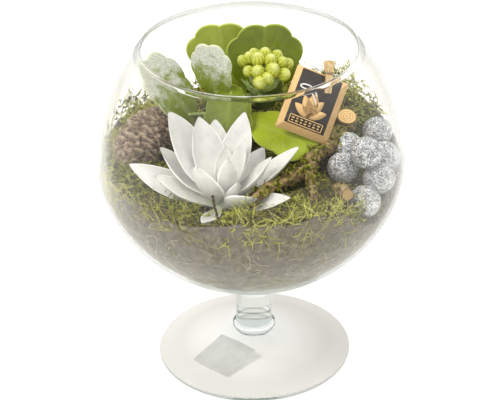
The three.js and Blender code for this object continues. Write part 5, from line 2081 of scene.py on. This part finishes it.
    def build_peg(self) -> None:
        """Both halves and the spring: a coil round the pivot with an arm over each half."""
        wood = LightWood().material()
        self.peg_half("peg_half_front", 1, wood)
        self.peg_half("peg_half_back", -1, wood)
        steel = PlainFinish("spring_steel", "#b9b6ad", "#8f8c85", 0.3, 0.9).material()
        turn = np.linspace(0, math.tau * 5, 160)
        half = 3.0
        coil = joined(np.linspace(-half, half, 160), 1.35 * np.sin(turn), 1.35 * np.cos(turn))
        arm = [(half, 0.9, 1.2), (half - 0.2, 0.3, 2.6), (half - 0.8, 0, 3.1), (-half + 0.8, 0, 3.1)]
        stock = Stock()
        for path in (coil, path_through(arm, 24), path_through(np.array(arm) * (-1, 1, -1), 24)):
            wire = np.full(len(path), 0.34)
            stock.add_grid(tube(self.at_peg(path), wire, 8, self.peg_across + 0.2 * self.face))
        stock.settle("peg_spring_wound", [steel], "white_wire", "peg_spring")

    def build_string(self) -> None:
        """The string: one cord that runs out in a loop from the card's middle and back, both ends loose."""
        above = self.thickness + 0.35 + 0.5
        places = [(1, 6, 0), (-1.5, 8.8, 0), (-5.5, 10.8, 0.1), (-10, 10.6, 0.2), (-12, 9.2, 0.3)]
        places += [(-10, 8.2, 0.2), (-5.6, 8.2, 0), (-2, 6, 0), (2.2, 1, 0)]
        path = path_through([self.at(np.array([x, y, above + lift])) for x, y, lift in places], 60)
        stock = Stock()
        stock.add_grid(tube(path, np.full(60, self.cord / 2), 10, self.face))
        cotton = PlainFinish("white_cotton", "#ecebe6", "#dad8d0", 0.8).material()
        piece = stock.settle("tag_string_cotton", [cotton], "white_wire", "tag_string")
        length = float(np.linalg.norm(np.diff(path, axis=0), axis=1).sum()) * MM

    def build(self) -> None:
        """Makes the card, the peg and the string."""
        self.build_card()
        self.build_peg()
        self.build_string()


# ---- the stage


@dataclass(frozen=True)
class Lamp:
    """A soft square lamp: where it hangs, the point that it faces, its side, all in metres, and its watts."""

    name: str
    place: tuple[float, float, float]
    aim: tuple[float, float, float]
    size: float
    watts: float

    def hang(self) -> None:
        """Adds the lamp, unseen by gloss and glass."""
        data = bpy.data.lights.new(self.name, "AREA")
        data.shape = "SQUARE"
        data.size = self.size
        data.energy = self.watts
        lamp = bpy.data.objects.new(self.name, data)
        lamp.location = self.place
        lamp.rotation_euler = (Vector(self.aim) - Vector(self.place)).to_track_quat("-Z", "Y").to_euler()
        lamp.visible_glossy = False
        lamp.visible_transmission = False
        bpy.context.scene.collection.objects.link(lamp)


@dataclass
class Studio:
    """A plain pale floor, soft lamps, and the camera at the photograph's place."""

    eye: tuple[float, float, float] = (-1.24, -1104.13, 752.08)
    pitch: float = 60.07
    roll: float = -1.05
    lens: float = 139.41
    bright_side: tuple[float, float, float] = (-0.42, -0.48, 0.77)
    spot: float = 0.9
    pale: float = 0.9
    dark: float = 0.08
    dark_side: tuple[float, float, float] = (0.0, -0.87, 0.5)
    lamps: tuple[Lamp, ...] = (
        Lamp("key_lamp", (-0.8, -0.7, 1.3), (0, 0, 0.15), 0.6, 16),
        Lamp("fill_lamp", (1.0, -0.6, 0.8), (0, 0, 0.15), 0.8, 3),
        Lamp("top_lamp", (0.1, 0.5, 1.4), (0, 0.1, 0.1), 0.9, 8),
    )

    def build_floor(self) -> None:
        """A flat square of matt white paper under the object."""
        half = 4000.0
        side = np.linspace(-half, half, 3)
        x, y = np.meshgrid(side, side, indexing="ij")
        top = joined(x, y, np.full_like(x, -0.2))
        stock = Stock()
        stock.add_slab(top, top - np.array([0, 0, 6.0]))
        paper = PlainFinish("floor_paper", "#fbfbfa", "#f7f7f6", 0.9, size=300, glow=0.16).material()
        floor = stock.make("floor", [paper])
        floor.visible_glossy = False

    def surroundings(self) -> bpy.types.World:
        """A pale world that gloss and glass see darker in front and brighter in one soft spot.

        Returns:
            The world.
        """
        tree = NodeTree("pale_studio", world=True)
        glossy = tree.sum(1.0, tree.add("LightPath").outputs["Is Diffuse Ray"], "SUBTRACT")
        front = tree.spread(tree.vector("DOT_PRODUCT", tree.coordinates, self.dark_side), 0.1, 0.75, 0, 0.95)
        dimmed = tree.spread(tree.times(glossy, front), 0, 1, self.pale, self.dark)
        toward = tree.vector("DOT_PRODUCT", tree.coordinates, self.bright_side)
        shone = tree.times(glossy, tree.spread(toward, 0.86, 0.99, 0, self.spot, "SMOOTHSTEP"))
        return tree.close(tree.shader("Background", Color=(1.0, 1.0, 1.0), Strength=tree.sum(dimmed, shone)))

    def camera(self) -> bpy.types.Object:
        """The camera, tilted and then rolled.

        Returns:
            The camera's object.
        """
        data = bpy.data.cameras.new("camera")
        data.sensor_width = 36
        data.lens = self.lens
        data.clip_start = 0.01
        camera = bpy.data.objects.new("camera", data)
        camera.location = [v * MM for v in self.eye]
        tilted = Euler((math.radians(self.pitch), 0, 0)).to_matrix()
        rolled = Euler((0, 0, math.radians(self.roll))).to_matrix()
        camera.rotation_euler = (tilted @ rolled).to_euler()
        return camera

    def build(self) -> None:
        """Makes the camera, the floor, the pale surroundings and the lamps."""
        scene = bpy.context.scene
        scene.camera = self.camera()
        scene.collection.objects.link(scene.camera)
        scene.view_settings.view_transform = "Standard"
        scene.world = self.surroundings()
        self.build_floor()
        for lamp in self.lamps:
            lamp.hang()


def corners(box: object) -> list:
    """A box's corners as plain lists of numbers."""
    return [[float(v) for v in corner] for corner in box]


def main() -> None:
    """Builds the stage and each sub-assembly in order."""
    logging.basicConfig(level=logging.INFO, format="%(message)s")
    Studio().build()
    glass = GlassBowl()
    glass.build()
    ground = Ground(glass)
    ground.build_soil()
    balls = GlitterBalls()
    kit = StrandKit(ground, np.array(balls.places, float))
    limbs = (Branch.main, Branch.fork, Branch.twig)
    lying = np.vstack([path_through(list(limb.places), 30) for limb in limbs])
    MossCover(ground, kit, lying).build()
    Rosette().build()
    FloweringPlant().build()
    PineCone().build()
    Branch(kit).build()
    balls.build()
    Tag().build()
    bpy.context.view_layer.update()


if __name__ == "__main__":
    main()
